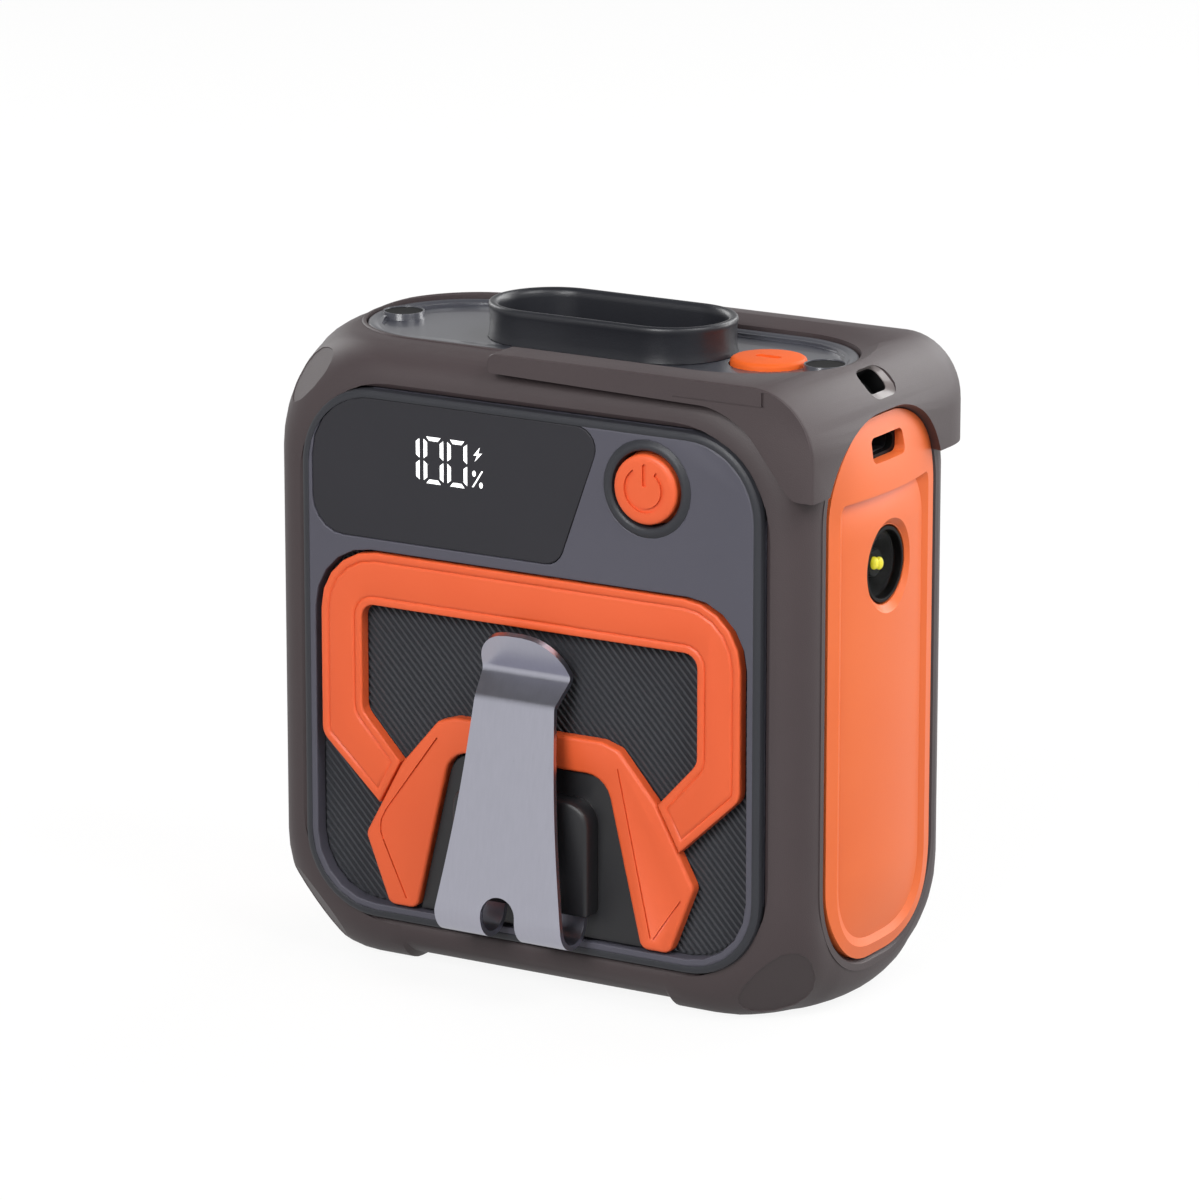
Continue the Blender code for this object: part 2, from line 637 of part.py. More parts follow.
def bumper_section(y):
    """Outline of the bumper at one depth: it swells from the lip of the opening to its full size."""
    across = min(y, BODY_DEPTH - y)
    swell = sqrt(1 - (1 - min(1, across / EDGE_DEPTH)) ** 2)
    corner_swell = sqrt(1 - (1 - min(1, across / CORNER_DEPTH)) ** 2)
    spread = SIDE_WALL - LIP
    half = HALF - spread * (1 - swell)
    top = BODY_HEIGHT - (TOP_WALL - LIP) * (1 - swell)
    low = (BOTTOM_WALL - LIP) * (1 - swell)
    step = FOOT_STEP * (LEAST_STEP + (1 - LEAST_STEP) * swell)
    diagonal = sqrt(2) - 1
    reach_lip = sqrt(2) * (HALF - spread) - diagonal * LIP_R
    reach_full = sqrt(2) * HALF - diagonal * CORNER_R
    reach = reach_lip + (reach_full - reach_lip) * corner_swell
    radius = (sqrt(2) * half - reach) / diagonal
    foot = OPEN_HALF - LIP_R - FOOT_FLAT
    return rounded([
        (half, low, radius), (half, top, radius), (-half, top, radius), (-half, low, radius),
        (-foot, low, 0), (step - foot, low + step, 0), (foot - step, low + step, 0), (foot, low, 0)])


def bumper_depths():
    """Depths of the bumper's sections, close together where its edges are round."""
    turns = [pi / 2 * ring / EDGE_RINGS for ring in range(EDGE_RINGS + 1)]
    front = [CORNER_DEPTH * (1 - cos(turn)) for turn in turns]
    return front + [BODY_DEPTH - depth for depth in reversed(front)]


def loft(name, sections):
    """Closed skin over sections with equally many points."""
    work = bmesh.new()
    rings = [[work.verts.new(point) for point in section] for section in sections]
    count = len(rings[0])
    for near, far in zip(rings, rings[1:]):
        for index in range(count):
            after = (index + 1) % count
            work.faces.new((near[index], near[after], far[after], far[index]))
    work.faces.new(rings[0])
    work.faces.new(rings[-1])
    bmesh.ops.recalc_face_normals(work, faces=work.faces)
    mesh = bpy.data.meshes.new(name)
    work.to_mesh(mesh)
    work.free()
    return placed(name, mesh)


def make_bumper():
    """Rubber ring with feet, a square cap over one corner, and openings for the panels and the deck."""
    ring = loft("bumper", [[(x, y, z) for x, z in bumper_section(y)] for y in bumper_depths()])
    strip_low = CAP_TOP - CAP_STRIP
    side_low = CAP_TOP - CAP_DROP
    cap = plate("bumper_cap", "y", -CAP_PROUD, BODY_DEPTH + CAP_PROUD, rounded([
        (CAP_RIGHT, side_low, 0), (CAP_RIGHT, CAP_TOP, CAP_CORNER_R),
        (HALF - CAP_REACH, CAP_TOP, 0), (HALF - CAP_REACH, strip_low, 0),
        (CAP_RIGHT - CAP_WIDTH, strip_low, CAP_TURN_R), (CAP_RIGHT - CAP_FOOT, side_low, CAP_FOOT_R)]))
    fuse(ring, soften(cap, CAP_EDGE, segments=1))
    for side in (-1, 1):
        face = side * (HALF + COLLAR_PROUD)
        fuse(ring, plate(f"collar_{side}", "x", side * OPEN_HALF, face, side_outline(COLLAR)))
    fuse(ring, plate("deck_collar", "z", OPEN_HIGH, DECK_TOP, deck_outline(COLLAR)))
    cut(ring, plate("front_to_back", "y", -BODY_DEPTH, 2 * BODY_DEPTH, opening()))
    for side in (-1, 1):
        reach = CAP_RIGHT + CAP_OUT
        inner = side * (OPEN_HALF - OPENING_R)
        way = plate(f"side_way_{side}", "x", inner, side * reach, side_outline(CLEARANCE))
        cut(ring, way)
    cut(ring, plate("top_way", "z", OPEN_HIGH - TOP_WALL, CAP_TOP + TOP_WALL, deck_outline()))
    corner = Vector((CAP_RIGHT - CAP_CORNER_R, MIDDLE, CAP_TOP - CAP_CORNER_R))
    long, short = STRAP_HOLE
    hole = box("strap_hole", (-short / 2, -long / 2, CAP_CORNER_R - STRAP_HOLE_DEPTH),
               (short / 2, long / 2, 2 * CAP_CORNER_R))
    soften(hole, short / 4, segments=2)
    hole.location = corner
    hole.rotation_euler.y = radians(45)
    cut(ring, hole)
    return dress(ring, RUBBER)


def make_shell(name, face, inside, seam):
    """One half of the housing: a face plate with a skirt that runs back to the seam."""
    shell = plate(name, "y", face, seam, opening(CLEARANCE))
    work = bmesh.new()
    work.from_mesh(shell.data)
    rim = [edge for edge in work.edges if all(abs(vert.co.y - face) < 1e-6 for vert in edge.verts)]
    bmesh.ops.bevel(work, geom=rim, offset=PANEL_CHAMFER, segments=2, profile=0.5, affect="EDGES",
                    material=-1)
    work.to_mesh(shell.data)
    work.free()
    beyond = seam + (seam - face)
    cut(shell, plate(f"{name}_hollow", "y", inside, beyond, opening(CLEARANCE + SKIRT)))
    return shell


def cut_top_ways(shell):
    """Ways for the outlet and the light button's plunger through the shells' top wall."""
    under = SHELL_HIGH - 2 * SKIRT
    cut(shell, plate(f"{shell.name}_outlet_way", "z", under, OPEN_HIGH + SKIRT, nozzle_outline(CLEARANCE)))
    way = PLUNGER_R + CLEARANCE
    cut(shell, cylinder(f"{shell.name}_plunger_way", "z", under, OPEN_HIGH + SKIRT, (LIGHT_X, MIDDLE), way))


def cut_side_ways(shell):
    """Ways for the charging socket and the torch through the shells' right wall."""
    reach = (WALL_INNER - SKIRT, SHELL_HALF + SKIRT)
    wide, high = (size / 2 + CLEARANCE for size in PORT_SIZE)
    cut(shell, box(f"{shell.name}_port_way", (reach[0], MIDDLE - wide, SLOT_Z - high),
                   (reach[1], MIDDLE + wide, SLOT_Z + high)))
    cut(shell, cylinder(f"{shell.name}_torch_way", "x", *reach, (MIDDLE + TORCH_OFFSET, TORCH_Z), TORCH_R))


def window_outline(gap=0.0):
    """Display window, square but for its slanting right end, drawn in by a gap."""
    left = -OPEN_HALF + WINDOW_LEFT + gap
    top = OPEN_HIGH - WINDOW_TOP - gap
    low = OPEN_HIGH - WINDOW_TOP - WINDOW_HEIGHT + gap
    right = POWER_X - WINDOW_TO_POWER - gap
    return rounded([(left, low, WINDOW_LOW_R), (right - WINDOW_SLANT, low, WINDOW_END_R),
                    (right, top, WINDOW_END_R), (left, top, WINDOW_TOP_R)])


def display_corners(grow=0.0):
    """Lower left and upper right corners of the display behind its window."""
    x = -OPEN_HALF + WINDOW_LEFT + DISPLAY_PLACE[0]
    z = OPEN_HIGH - WINDOW_TOP - DISPLAY_PLACE[1]
    wide, high = (size / 2 + grow for size in DISPLAY_SIZE)
    return (x - wide, z - high), (x + wide, z + high)


def grille_outline(grow=0.0):
    """Grille opening, which leaves its flange room inside the skirt, let out by a distance."""
    inset = 2 * CLEARANCE + SKIRT + GRILLE_FLANGE - grow
    half, low = OPEN_HALF - inset, OPEN_LOW + inset
    high = FRAME_HIGH + TRIM_GAP + grow
    low_r, high_r = OPENING_R - inset, FRAME_R + TRIM_GAP + grow
    return rounded([(-half, low, low_r), (half, low, low_r), (half, high, high_r), (-half, high, high_r)])


def make_front_housing():
    """Front shell with a pocket for the window, ways for button and grille, and posts for the case screws."""
    shell = make_shell("front_housing", FRONT, FRONT_BACK, FRONT_SEAM)
    for index, place in enumerate(post_places()):
        low = GRILLE_BACK + CLEARANCE
        fuse(shell, cylinder(f"post_{index}", "y", low, FRONT_SEAM, place, POST_R, sides=SMALL_SIDES))
    for index, place in enumerate(post_places()):
        low, high = FRONT_SEAM - PILOT_DEPTH, FRONT_SEAM + PILOT_DEPTH
        cut(shell, cylinder(f"pilot_{index}", "y", low, high, place, SCREW_R + CLEARANCE, sides=SMALL_SIDES))
    pocket_back = FRONT + WINDOW_THICK + 2 * CLEARANCE
    before, behind = FRONT - PANEL_THICK, FRONT_BACK + PANEL_THICK
    cut(shell, plate("window_pocket", "y", before, pocket_back, window_outline()))
    cut(shell, plate("display_way", "y", FRONT, behind, rectangle(*display_corners(CLEARANCE))))
    bezel_r = POWER_R + BEZEL_WALL + 2 * CLEARANCE
    cut(shell, cylinder("bezel_way", "y", before, behind, (POWER_X, POWER_Z), bezel_r))
    cut(shell, plate("grille_way", "y", before, behind, grille_outline()))
    cut_top_ways(shell)
    cut_side_ways(shell)
    return dress(shell, SLATE)


def make_rear_housing():
    """Rear shell with the intake opening, screw seats and holes for the posts' screws."""
    shell = make_shell("rear_housing", REAR, REAR_BACK, REAR_SEAM)
    behind = REAR + SKIRT
    intake = (FAN_X, FAN_Z)
    cut(shell, cylinder("intake_way", "y", REAR_BACK - SKIRT, behind, intake, INTAKE_R, sides=LARGE_SIDES))
    for index, place in enumerate(post_places()):
        high = REAR - PANEL_CHAMFER
        fuse(shell, cylinder(f"rear_post_{index}", "y", REAR_SEAM, high, place, POST_R, sides=SMALL_SIDES))
    for index, place in enumerate(post_places()):
        head = SCREW_HEAD_R + CLEARANCE
        cut(shell, cylinder(f"head_way_{index}", "y", SCREW_SEAT, behind, place, head, sides=SMALL_SIDES))
        shank = SCREW_R + CLEARANCE
        low = REAR_SEAM - SKIRT
        cut(shell, cylinder(f"shank_way_{index}", "y", low, REAR, place, shank, sides=SMALL_SIDES))
    cut_top_ways(shell)
    cut_side_ways(shell)
    return dress(shell, SLATE)


def make_screws():
    """Case screws, driven from the back into the front shell's posts."""
    for index, place in enumerate(post_places()):
        name = f"rear_screw_{index + 1}"
        seat = SCREW_SEAT + CLEARANCE
        screw = cylinder(name, "y", seat, seat + SCREW_HEAD, place, SCREW_HEAD_R, sides=SMALL_SIDES)
        tip, inside = FRONT_SEAM - SCREW_BITE, seat + SCREW_HEAD / 2
        fuse(screw, cylinder(f"{name}_shank", "y", tip, inside, place, SCREW_R, sides=SMALL_SIDES))
        dress(screw, STEEL)


def make_intake_grille():
    """Ring with slanting bars, flush in the rear shell's opening."""
    outer = INTAKE_R - CLEARANCE
    front = REAR - INTAKE_THICK
    middle = (FAN_X, FAN_Z)
    grille = plate("intake_grille", "y", front, REAR, circle(outer, middle, LARGE_SIDES),
                   circle(outer - INTAKE_RING, middle, LARGE_SIDES))
    count = int((outer - INTAKE_RING) // BAR_PITCH)
    for index in range(-count, count + 1):
        offset = index * BAR_PITCH
        reach = (outer - INTAKE_RING / 2) ** 2 - (abs(offset) + BAR_WIDTH / 2) ** 2
        if reach <= 0:
            continue
        length = sqrt(reach)
        flat = rectangle((-length, offset - BAR_WIDTH / 2), (length, offset + BAR_WIDTH / 2))
        corners = [turned_about(point, BAR_TILT) + Vector(middle) for point in flat]
        fuse(grille, plate(f"bar_{index}", "y", front + BAR_INSET, REAR - BAR_INSET, corners))
    hub_inset = BAR_INSET / 2
    fuse(grille, cylinder("intake_hub", "y", front + hub_inset, REAR - hub_inset, middle, INTAKE_HUB_R))
    return dress(grille, BLACK)


def make_window_and_display():
    """Smoked window in its pocket, and the display that shines through it."""
    face = FRONT + WINDOW_SETBACK
    window = plate("display_window", "y", face, face + WINDOW_THICK, window_outline(CLEARANCE))
    dress(window, GLASS)
    low, high = display_corners()
    front = face + WINDOW_THICK + CLEARANCE
    display = box("display_module", (low[0], front, low[1]), (high[0], front + DISPLAY_DEPTH, high[1]))
    dress(display, BLACK)
    return front + DISPLAY_DEPTH + CLEARANCE


def make_power_button(board_front):
    """Round button in its bezel, held by a flange, with its switch behind it."""
    place = (POWER_X, POWER_Z)
    bezel_seat = FRONT_BACK + CLEARANCE
    bore = POWER_R + CLEARANCE
    bezel = turned("power_bezel", place, [
        (bore + BEZEL_WALL / 2, FRONT - BEZEL_PROUD), (bore, FRONT - BEZEL_PROUD + BEZEL_WALL / 2),
        (bore, bezel_seat + BUTTON_FLANGE), (bore + BEZEL_WALL + BEZEL_FLANGE, bezel_seat + BUTTON_FLANGE),
        (bore + BEZEL_WALL + BEZEL_FLANGE, bezel_seat), (bore + BEZEL_WALL, bezel_seat),
        (bore + BEZEL_WALL, FRONT - BEZEL_PROUD / 2)])
    dress(bezel, SLATE)
    flange = bezel_seat + BUTTON_FLANGE + CLEARANCE
    front = FRONT - POWER_PROUD
    button = turned("power_button", place, [
        (0, front), (0, flange + BUTTON_FLANGE), (POWER_R + BUTTON_LIP, flange + BUTTON_FLANGE),
        (POWER_R + BUTTON_LIP, flange), (POWER_R, flange), (POWER_R, front + CLEARANCE),
        (POWER_R - CLEARANCE, front)])
    dress(pivot(button, (POWER_X, 0, POWER_Z)), ORANGE)
    switch_front = flange + BUTTON_FLANGE + BUTTON_TRAVEL + SWITCH_GAP
    switch = box("power_switch", (POWER_X - SWITCH_SIZE / 2, switch_front, POWER_Z - SWITCH_SIZE / 2),
                 (POWER_X + SWITCH_SIZE / 2, board_front - CLEARANCE, POWER_Z + SWITCH_SIZE / 2))
    dress(switch, BLACK)


def make_main_board(board_front):
    """Circuit board behind the display and the power switch."""
    wide = BOARD_SIZE[0] / 2
    high, back = BOARD_LOW + BOARD_SIZE[1], board_front + BOARD_THICK
    board = box("main_board", (-wide, board_front, BOARD_LOW), (wide, back, high))
    dress(board, BOARD)


def make_front_grille():
    """Dark ribbed field that fills the front shell's opening from behind."""
    grille = plate("front_grille", "y", GRILLE_SEAT, GRILLE_BACK, grille_outline(GRILLE_FLANGE))
    inside = GRILLE_SEAT + GRILLE_PLATE / 2
    fuse(grille, plate("grille_field", "y", GRILLE_FRONT, inside, grille_outline(-CLEARANCE)))
    dress(grille, BLACK)


def arch_point(corner):
    """A trim corner given from the bottom of the opening."""
    return corner[0], OPEN_LOW + corner[1]


def make_trims():
    """Orange frame with slanting arms, and the arch that its arms run up to."""
    joint = Vector(arch_point(ARCH_JOINT))
    along = (Vector(arch_point(ARCH_ELBOW)) - joint).normalized()
    away = Vector((-along.y, along.x))
    arm_inner = joint + away * CLEARANCE
    arm_outer = joint + along * ARM_WIDTH + away * CLEARANCE
    band = FRAME_HALF - FRAME_BAND
    outer = [(*arm_outer, 0), (FRAME_HALF, OPEN_LOW + FRAME_BEND, BEND_R), (FRAME_HALF, FRAME_HIGH, FRAME_R)]
    inner = [(band, FRAME_HIGH - FRAME_HEAD, FRAME_INNER_R), (band, OPEN_LOW + FRAME_INNER_BEND, BEND_R),
             (*arm_inner, 0)]
    around = rounded(outer + flipped(outer) + flipped(inner) + inner)
    dress(plate("front_trim_frame", "y", TRIM_FRONT, TRIM_BACK, around), ORANGE)
    top = OPEN_LOW + ARCH_TOP
    foot = OPEN_LOW + ARCH_FOOT
    outer = [(ARCH_FOOT_OUTER, foot, ARCH_R), (*arch_point(ARCH_ELBOW), ARCH_R), (*joint, 0),
             (*arch_point(ARCH_SHOULDER), ARCH_R), (ARCH_SHOULDER[0] - 2 * ARCH_R, top, ARCH_R)]
    inner = [(ARCH_INNER[0], top - ARCH_HEAD, ARCH_INNER_R), (ARCH_FOOT_INNER, foot, 0)]
    around = rounded(outer + flipped(outer) + flipped(inner) + inner)
    dress(plate("front_trim_arch", "y", TRIM_FRONT, TRIM_BACK, around), ORANGE)


def let_out(path, distance):
    """A path moved sideways to its left by a distance."""
    moved = []
    for index, point in enumerate(path):
        before = (point - path[index - 1]).normalized() if index else None
        after = (path[index + 1] - point).normalized() if index + 1 < len(path) else None
        way = ((before or after) + (after or before)).normalized()
        moved.append(point + Vector((-way.y, way.x)) * distance / way.dot(before or after))
    return moved


def strip_outline(path):
    """A bent strip's section: its middle line let out to half its thickness on both sides."""
    return let_out(path, CLIP_THICK / 2) + let_out(path, -CLIP_THICK / 2)[::-1]


def bend_point(angle):
    """Middle of the strip in its bend, from the leg at 0 round under to the tongue at 180 degrees."""
    return Vector((CLIP_BEND_Y + CLIP_BEND_R * cos(angle), CLIP_BEND_Z - CLIP_BEND_R * sin(angle)))


def eased(corner, before, after, pieces=4):
    """A sharp bend between three points of the strip made a small curve."""
    start = corner + (before - corner).normalized() * CLIP_EASE
    end = corner + (after - corner).normalized() * CLIP_EASE
    curve = []
    for piece in range(pieces + 1):
        t = piece / pieces
        curve.append(start * (1 - t) ** 2 + corner * 2 * t * (1 - t) + end * t ** 2)
    return curve


def clip_blank(name):
    """Flat outline that the bent strip is cut to: wide at the bend, narrow at the neck, round at the tip."""
    half, neck, tip = CLIP_WIDTH / 2, CLIP_NECK / 2, CLIP_TIP / 2
    low = CLIP_BEND_Z - 2 * CLIP_BEND_R
    top = CLIP_END_Z + CLIP_THICK
    right = [(half, low, 0), (half, CLIP_BEND_Z, 0), (neck, CLIP_FOLD_Z, 0), (tip, CLIP_HEEL_Z, 0),
             (tip, top, tip * CLIP_TIP_ROUND)]
    return plate(name, "y", CLIP_FRONT - CLIP_THICK, CLIP_THICK * 2, rounded(right + flipped(right)))


def make_clip():
    """The clip's fixed leg with half its bend, and its tongue with the other half."""
    steps = range(CLIP_ARC_PIECES + 1)
    split_turn = CLIP_SWING + CLIP_SPLIT_GAP / CLIP_BEND_R
    centre = Vector((CLIP_BEND_Y, CLIP_BEND_Z))
    fold = Vector((CLIP_FOLD_Y, CLIP_FOLD_Z))
    heel = Vector((CLIP_HEEL_Y, CLIP_HEEL_Z))
    end = Vector((CLIP_END_Y, CLIP_END_Z))
    lean = asin(CLIP_BEND_R / (fold - centre).length) + atan2(fold.x - centre.x, fold.y - centre.y)
    leg_path = [Vector((CLIP_LEG_Y, CLIP_LEG_TOP))]
    leg_path += [bend_point(CLIP_SPLIT * step / CLIP_ARC_PIECES) for step in steps]
    start = CLIP_SPLIT + split_turn
    tongue_path = [bend_point(start + (pi - start) * step / CLIP_ARC_PIECES) for step in steps]
    tongue_path.append(bend_point(pi + lean))
    tongue_path += eased(fold, tongue_path[-1], heel)
    tongue_path += eased(heel, fold, end)
    tongue_path.append(end)
    leg = plate("clip_leg", "x", -CLIP_WIDTH, CLIP_WIDTH, strip_outline(leg_path))
    keep_inside(leg, clip_blank("leg_blank"))
    tongue = plate("clip_tongue", "x", -CLIP_WIDTH, CLIP_WIDTH, strip_outline(tongue_path))
    keep_inside(tongue, clip_blank("tongue_blank"))
    low = CLIP_BEND_Z - 2 * CLIP_BEND_R
    notch = [(CLIP_HOLE_R, low, 0), (CLIP_HOLE_R, CLIP_HOLE_Z + CLIP_HOLE_R, CLIP_HOLE_R)]
    cut(tongue, plate("tongue_hole", "y", CLIP_FRONT - CLIP_THICK, CLIP_BEND_Y + CLIP_BEND_R,
                      rounded(notch + flipped(notch))))
    low_notch = rectangle((-CLIP_HOLE_R, low), (CLIP_HOLE_R, CLIP_BEND_Z - CLIP_THICK))
    cut(leg, plate("leg_hole", "y", CLIP_FRONT - CLIP_THICK, CLIP_LEG_Y + CLIP_THICK, low_notch))
    barb_z = (BOSS_LOW + CLIP_LEG_TOP) / 2
    cut(leg, cylinder("barb_way", "y", CLIP_LEG_Y - CLIP_THICK, CLIP_LEG_Y + CLIP_THICK, (0, barb_z),
                      BARB_R + CLEARANCE, sides=SMALL_SIDES))
    dress(leg, STEEL)
    dress(pivot(tongue, (0, CLIP_BEND_Y, CLIP_BEND_Z)), STEEL)
    return barb_z


def make_clip_mount(barb_z):
    """Black plate inside the arch, with a boss round the clip's leg and a barb that holds it."""
    foot = OPEN_LOW + ARCH_FOOT
    top = OPEN_LOW + ARCH_TOP - ARCH_HEAD - CLEARANCE
    slope = (ARCH_FOOT_INNER - ARCH_INNER[0]) / (ARCH_INNER[1] - ARCH_FOOT)
    gap = CLEARANCE * hypot(1, slope)
    right = [(ARCH_FOOT_INNER - gap, foot, 0), (ARCH_INNER[0] - gap, top, ARCH_INNER_R)]
    mount = plate("clip_mount", "y", TRIM_FRONT + MOUNT_FACE, TRIM_BACK, rounded(right + flipped(right)))
    slot_front = CLIP_LEG_Y - CLIP_THICK / 2 - CLEARANCE
    slot_back = CLIP_LEG_Y + CLIP_THICK / 2 + CLEARANCE
    half = CLIP_WIDTH / 2 + CLEARANCE
    boss_top = CLIP_LEG_TOP + CLEARANCE + 2 * BOSS_WALL
    right = [(half + BOSS_SIDE, BOSS_LOW, 0), (half + BOSS_SIDE, boss_top, BOSS_R)]
    boss = plate("clip_boss", "y", slot_front - BOSS_WALL, TRIM_BACK - CLEARANCE,
                 rounded(right + flipped(right)))
    fuse(mount, soften(boss, BOSS_EDGE))
    slot_top = CLIP_LEG_TOP + CLEARANCE
    cut(mount, box("leg_slot", (-half, slot_front, BOSS_LOW - BOSS_R), (half, slot_back, slot_top)))
    barb_front, barb_back = CLIP_LEG_Y - CLIP_THICK / 2, slot_back + BOSS_WALL / 2
    fuse(mount, cylinder("leg_barb", "y", barb_front, barb_back, (0, barb_z), BARB_R, sides=SMALL_SIDES))
    dress(mount, BLACK)


def make_top_deck():
    """Plate in the bumper's top with a raised rim, two lanyard eyelets and ways for outlet and button."""
    outer = deck_outline(-CLEARANCE)
    inner = deck_outline(-CLEARANCE - DECK_RIM)
    deck = plate("top_deck", "z", SHELL_HIGH + CLEARANCE, DECK_TOP, outer, inner)
    fuse(deck, plate("deck_floor", "z", DECK_UNDER, DECK_FLOOR, deck_outline(-CLEARANCE - DECK_RIM / 2)))
    for side in (-1, 1):
        place = (side * EYELET_X, MIDDLE)
        low, high = DECK_UNDER + DECK_THICK / 4, DECK_FLOOR + EYELET_RISE
        fuse(deck, cylinder(f"eyelet_{side}", "z", low, high, place, EYELET_R, EYELET_R - CLEARANCE))
    for side in (-1, 1):
        place = (side * EYELET_X, MIDDLE)
        high = DECK_TOP + EYELET_RISE
        cut(deck, cylinder(f"eyelet_hole_{side}", "z", SHELL_HIGH, high, place, EYELET_HOLE_R))
    under = DECK_UNDER - DECK_THICK
    cut(deck, plate("deck_outlet_way", "z", under, DECK_TOP, nozzle_outline(CLEARANCE)))
    button_way = LIGHT_R + CLEARANCE
    cut(deck, cylinder("light_button_way", "z", under, DECK_TOP, (LIGHT_X, MIDDLE), button_way))
    dress(deck, SLATE)


def make_outlet():
    """Stadium tube that stands out of the deck, with a flange on the blower's duct."""
    low, high = FLANGE_TOP - FLANGE_THICK / 2, DECK_FLOOR + NOZZLE_RISE
    tube = plate("outlet_nozzle", "z", low, high, nozzle_outline())
    reach = NOZZLE_HALF_LENGTH + FLANGE_REACH
    flange = box("outlet_flange", (NOZZLE_X - reach, SCROLL_FRONT, FLANGE_TOP - FLANGE_THICK),
                 (NOZZLE_X + reach, COVER_FRONT, FLANGE_TOP))
    fuse(tube, flange)
    bore = nozzle_outline(-NOZZLE_WALL)
    cut(tube, plate("outlet_bore", "z", DUCT_TOP - FLANGE_THICK, high + NOZZLE_RISE, bore))
    dress(tube, BLACK)


def make_light_button():
    """Round button in the deck, held by a flange, with its plunger, switch and small board below."""
    place = (LIGHT_X, MIDDLE)
    flange_top = DECK_UNDER - CLEARANCE
    flange_low = flange_top - BUTTON_FLANGE
    inside = flange_top - BUTTON_FLANGE / 2
    button = cylinder("light_button", "z", inside, DECK_FLOOR + LIGHT_PROUD, place, LIGHT_R)
    fuse(button, cylinder("light_flange", "z", flange_low, flange_top, place, LIGHT_R + LIGHT_LIP))
    plunger_low = flange_low - PLUNGER_LENGTH
    fuse(button, cylinder("light_plunger", "z", plunger_low, inside, place, PLUNGER_R, sides=SMALL_SIDES))
    dress(pivot(button, (*place, DECK_FLOOR)), ORANGE)
    switch_top = plunger_low - BUTTON_TRAVEL - SWITCH_GAP
    switch_low = switch_top - LIGHT_SWITCH_HEIGHT
    half = SWITCH_SIZE / 2
    switch = box("light_switch", (LIGHT_X - half, MIDDLE - half, switch_low),
                 (LIGHT_X + half, MIDDLE + half, switch_top))
    dress(switch, BLACK)
    duct_side = NOZZLE_X + NOZZLE_HALF_LENGTH - NOZZLE_WALL + SCROLL_WALL + CLEARANCE
    board_top = switch_low - CLEARANCE
    half = LIGHT_BOARD_SIZE / 2
    board = box("light_board", (duct_side, MIDDLE - half, board_top - LIGHT_BOARD_THICK),
                (LIGHT_X + SWITCH_SIZE / 2 + CLEARANCE, MIDDLE + half, board_top))
    dress(board, BOARD)


def bow(edge, crest, pieces=4):
    """Points (out, along) on an arc that rises by the side panel's bulge from its edge to its crest."""
    run = crest - edge
    radius = (run ** 2 + SIDE_BULGE ** 2) / (2 * SIDE_BULGE)
    points = []
    for piece in range(pieces + 1):
        along = run * (piece / pieces - 1)
        points.append((SIDE_BULGE - radius + sqrt(radius ** 2 - along ** 2), crest + along))
    return points


def make_pillow(name, side, drop):
    """Bulging block whose face is a side panel's surface, moved in by a drop."""
    near, far = MIDDLE - SIDE_HALF, MIDDLE + SIDE_HALF
    across = bow(near, MIDDLE) + bow(far, MIDDLE)[-2::-1]
    upright = bow(SIDE_LOW, SIDE_LOW + BULGE_RUN) + bow(SIDE_HIGH, SIDE_HIGH - BULGE_RUN)[::-1]
    sections = []
    for points in (across, upright):
        face = [(side * (HALF - drop + out), along) for out, along in points]
        inner = side * OPEN_HALF
        sections.append([(inner, points[0][1])] + face + [(inner, points[-1][1])])
    block = plate(name, "z", SIDE_LOW - SIDE_R, SIDE_HIGH + SIDE_R, sections[0])
    return keep_inside(block, plate(f"{name}_ends", "y", near - SIDE_R, far + SIDE_R, sections[1]))


def make_side_panel(name, side):
    """Orange capsule panel that bulges out, with a shallow field and a skirt that rests on the housing."""
    panel = plate(name, "x", side * SIDE_INNER, side * (SIDE_FACE + SIDE_BULGE), side_outline())
    keep_inside(panel, make_pillow(f"{name}_face", side, 0))
    inner = side * (SIDE_INNER - SIDE_THICK)
    cut(panel, plate(f"{name}_hollow", "x", inner, side * SIDE_BACK, side_outline(-SKIRT)))
    field = plate(f"{name}_field", "x", side * SIDE_BACK, side * (SIDE_FACE + SIDE_BULGE), rounded([
        (MIDDLE - FIELD_HALF, FIELD_LOW, FIELD_LOW_R), (MIDDLE + FIELD_HALF, FIELD_LOW, FIELD_LOW_R),
        (MIDDLE + FIELD_HALF, FIELD_HIGH, FIELD_HIGH_R), (MIDDLE - FIELD_HALF, FIELD_HIGH, FIELD_HIGH_R)]))
    cut(field, make_pillow(f"{name}_field_face", side, FIELD_DEPTH))
    return cut(panel, field)


def make_side_panels():
    """Right panel with the charging slot and the dished torch hole, and a plain left one."""
    right = make_side_panel("side_panel_right", 1)
    wide, high = (size / 2 for size in SLOT_SIZE)
    slot = rectangle((MIDDLE - wide, SLOT_Z - high), (MIDDLE + wide, SLOT_Z + high), high / 2)
    cut(right, plate("charging_slot", "x", SIDE_BACK - SIDE_THICK, SIDE_FACE + SIDE_THICK, slot))
    place = (MIDDLE + TORCH_OFFSET, TORCH_Z)
    cut(right, cylinder("torch_hole", "x", SIDE_BACK - SIDE_THICK, SIDE_FACE + SIDE_THICK, place, TORCH_R))
    dish_slope = (DISH_R - TORCH_R) / DISH_DEPTH
    dish_out = 2 * FIELD_DEPTH
    cut(right, cylinder("torch_dish", "x", TORCH_FACE, TORCH_FACE + DISH_DEPTH + dish_out, place, TORCH_R,
                        DISH_R + dish_slope * dish_out))
    dress(right, ORANGE)
    dress(make_side_panel("side_panel_left", -1), ORANGE)


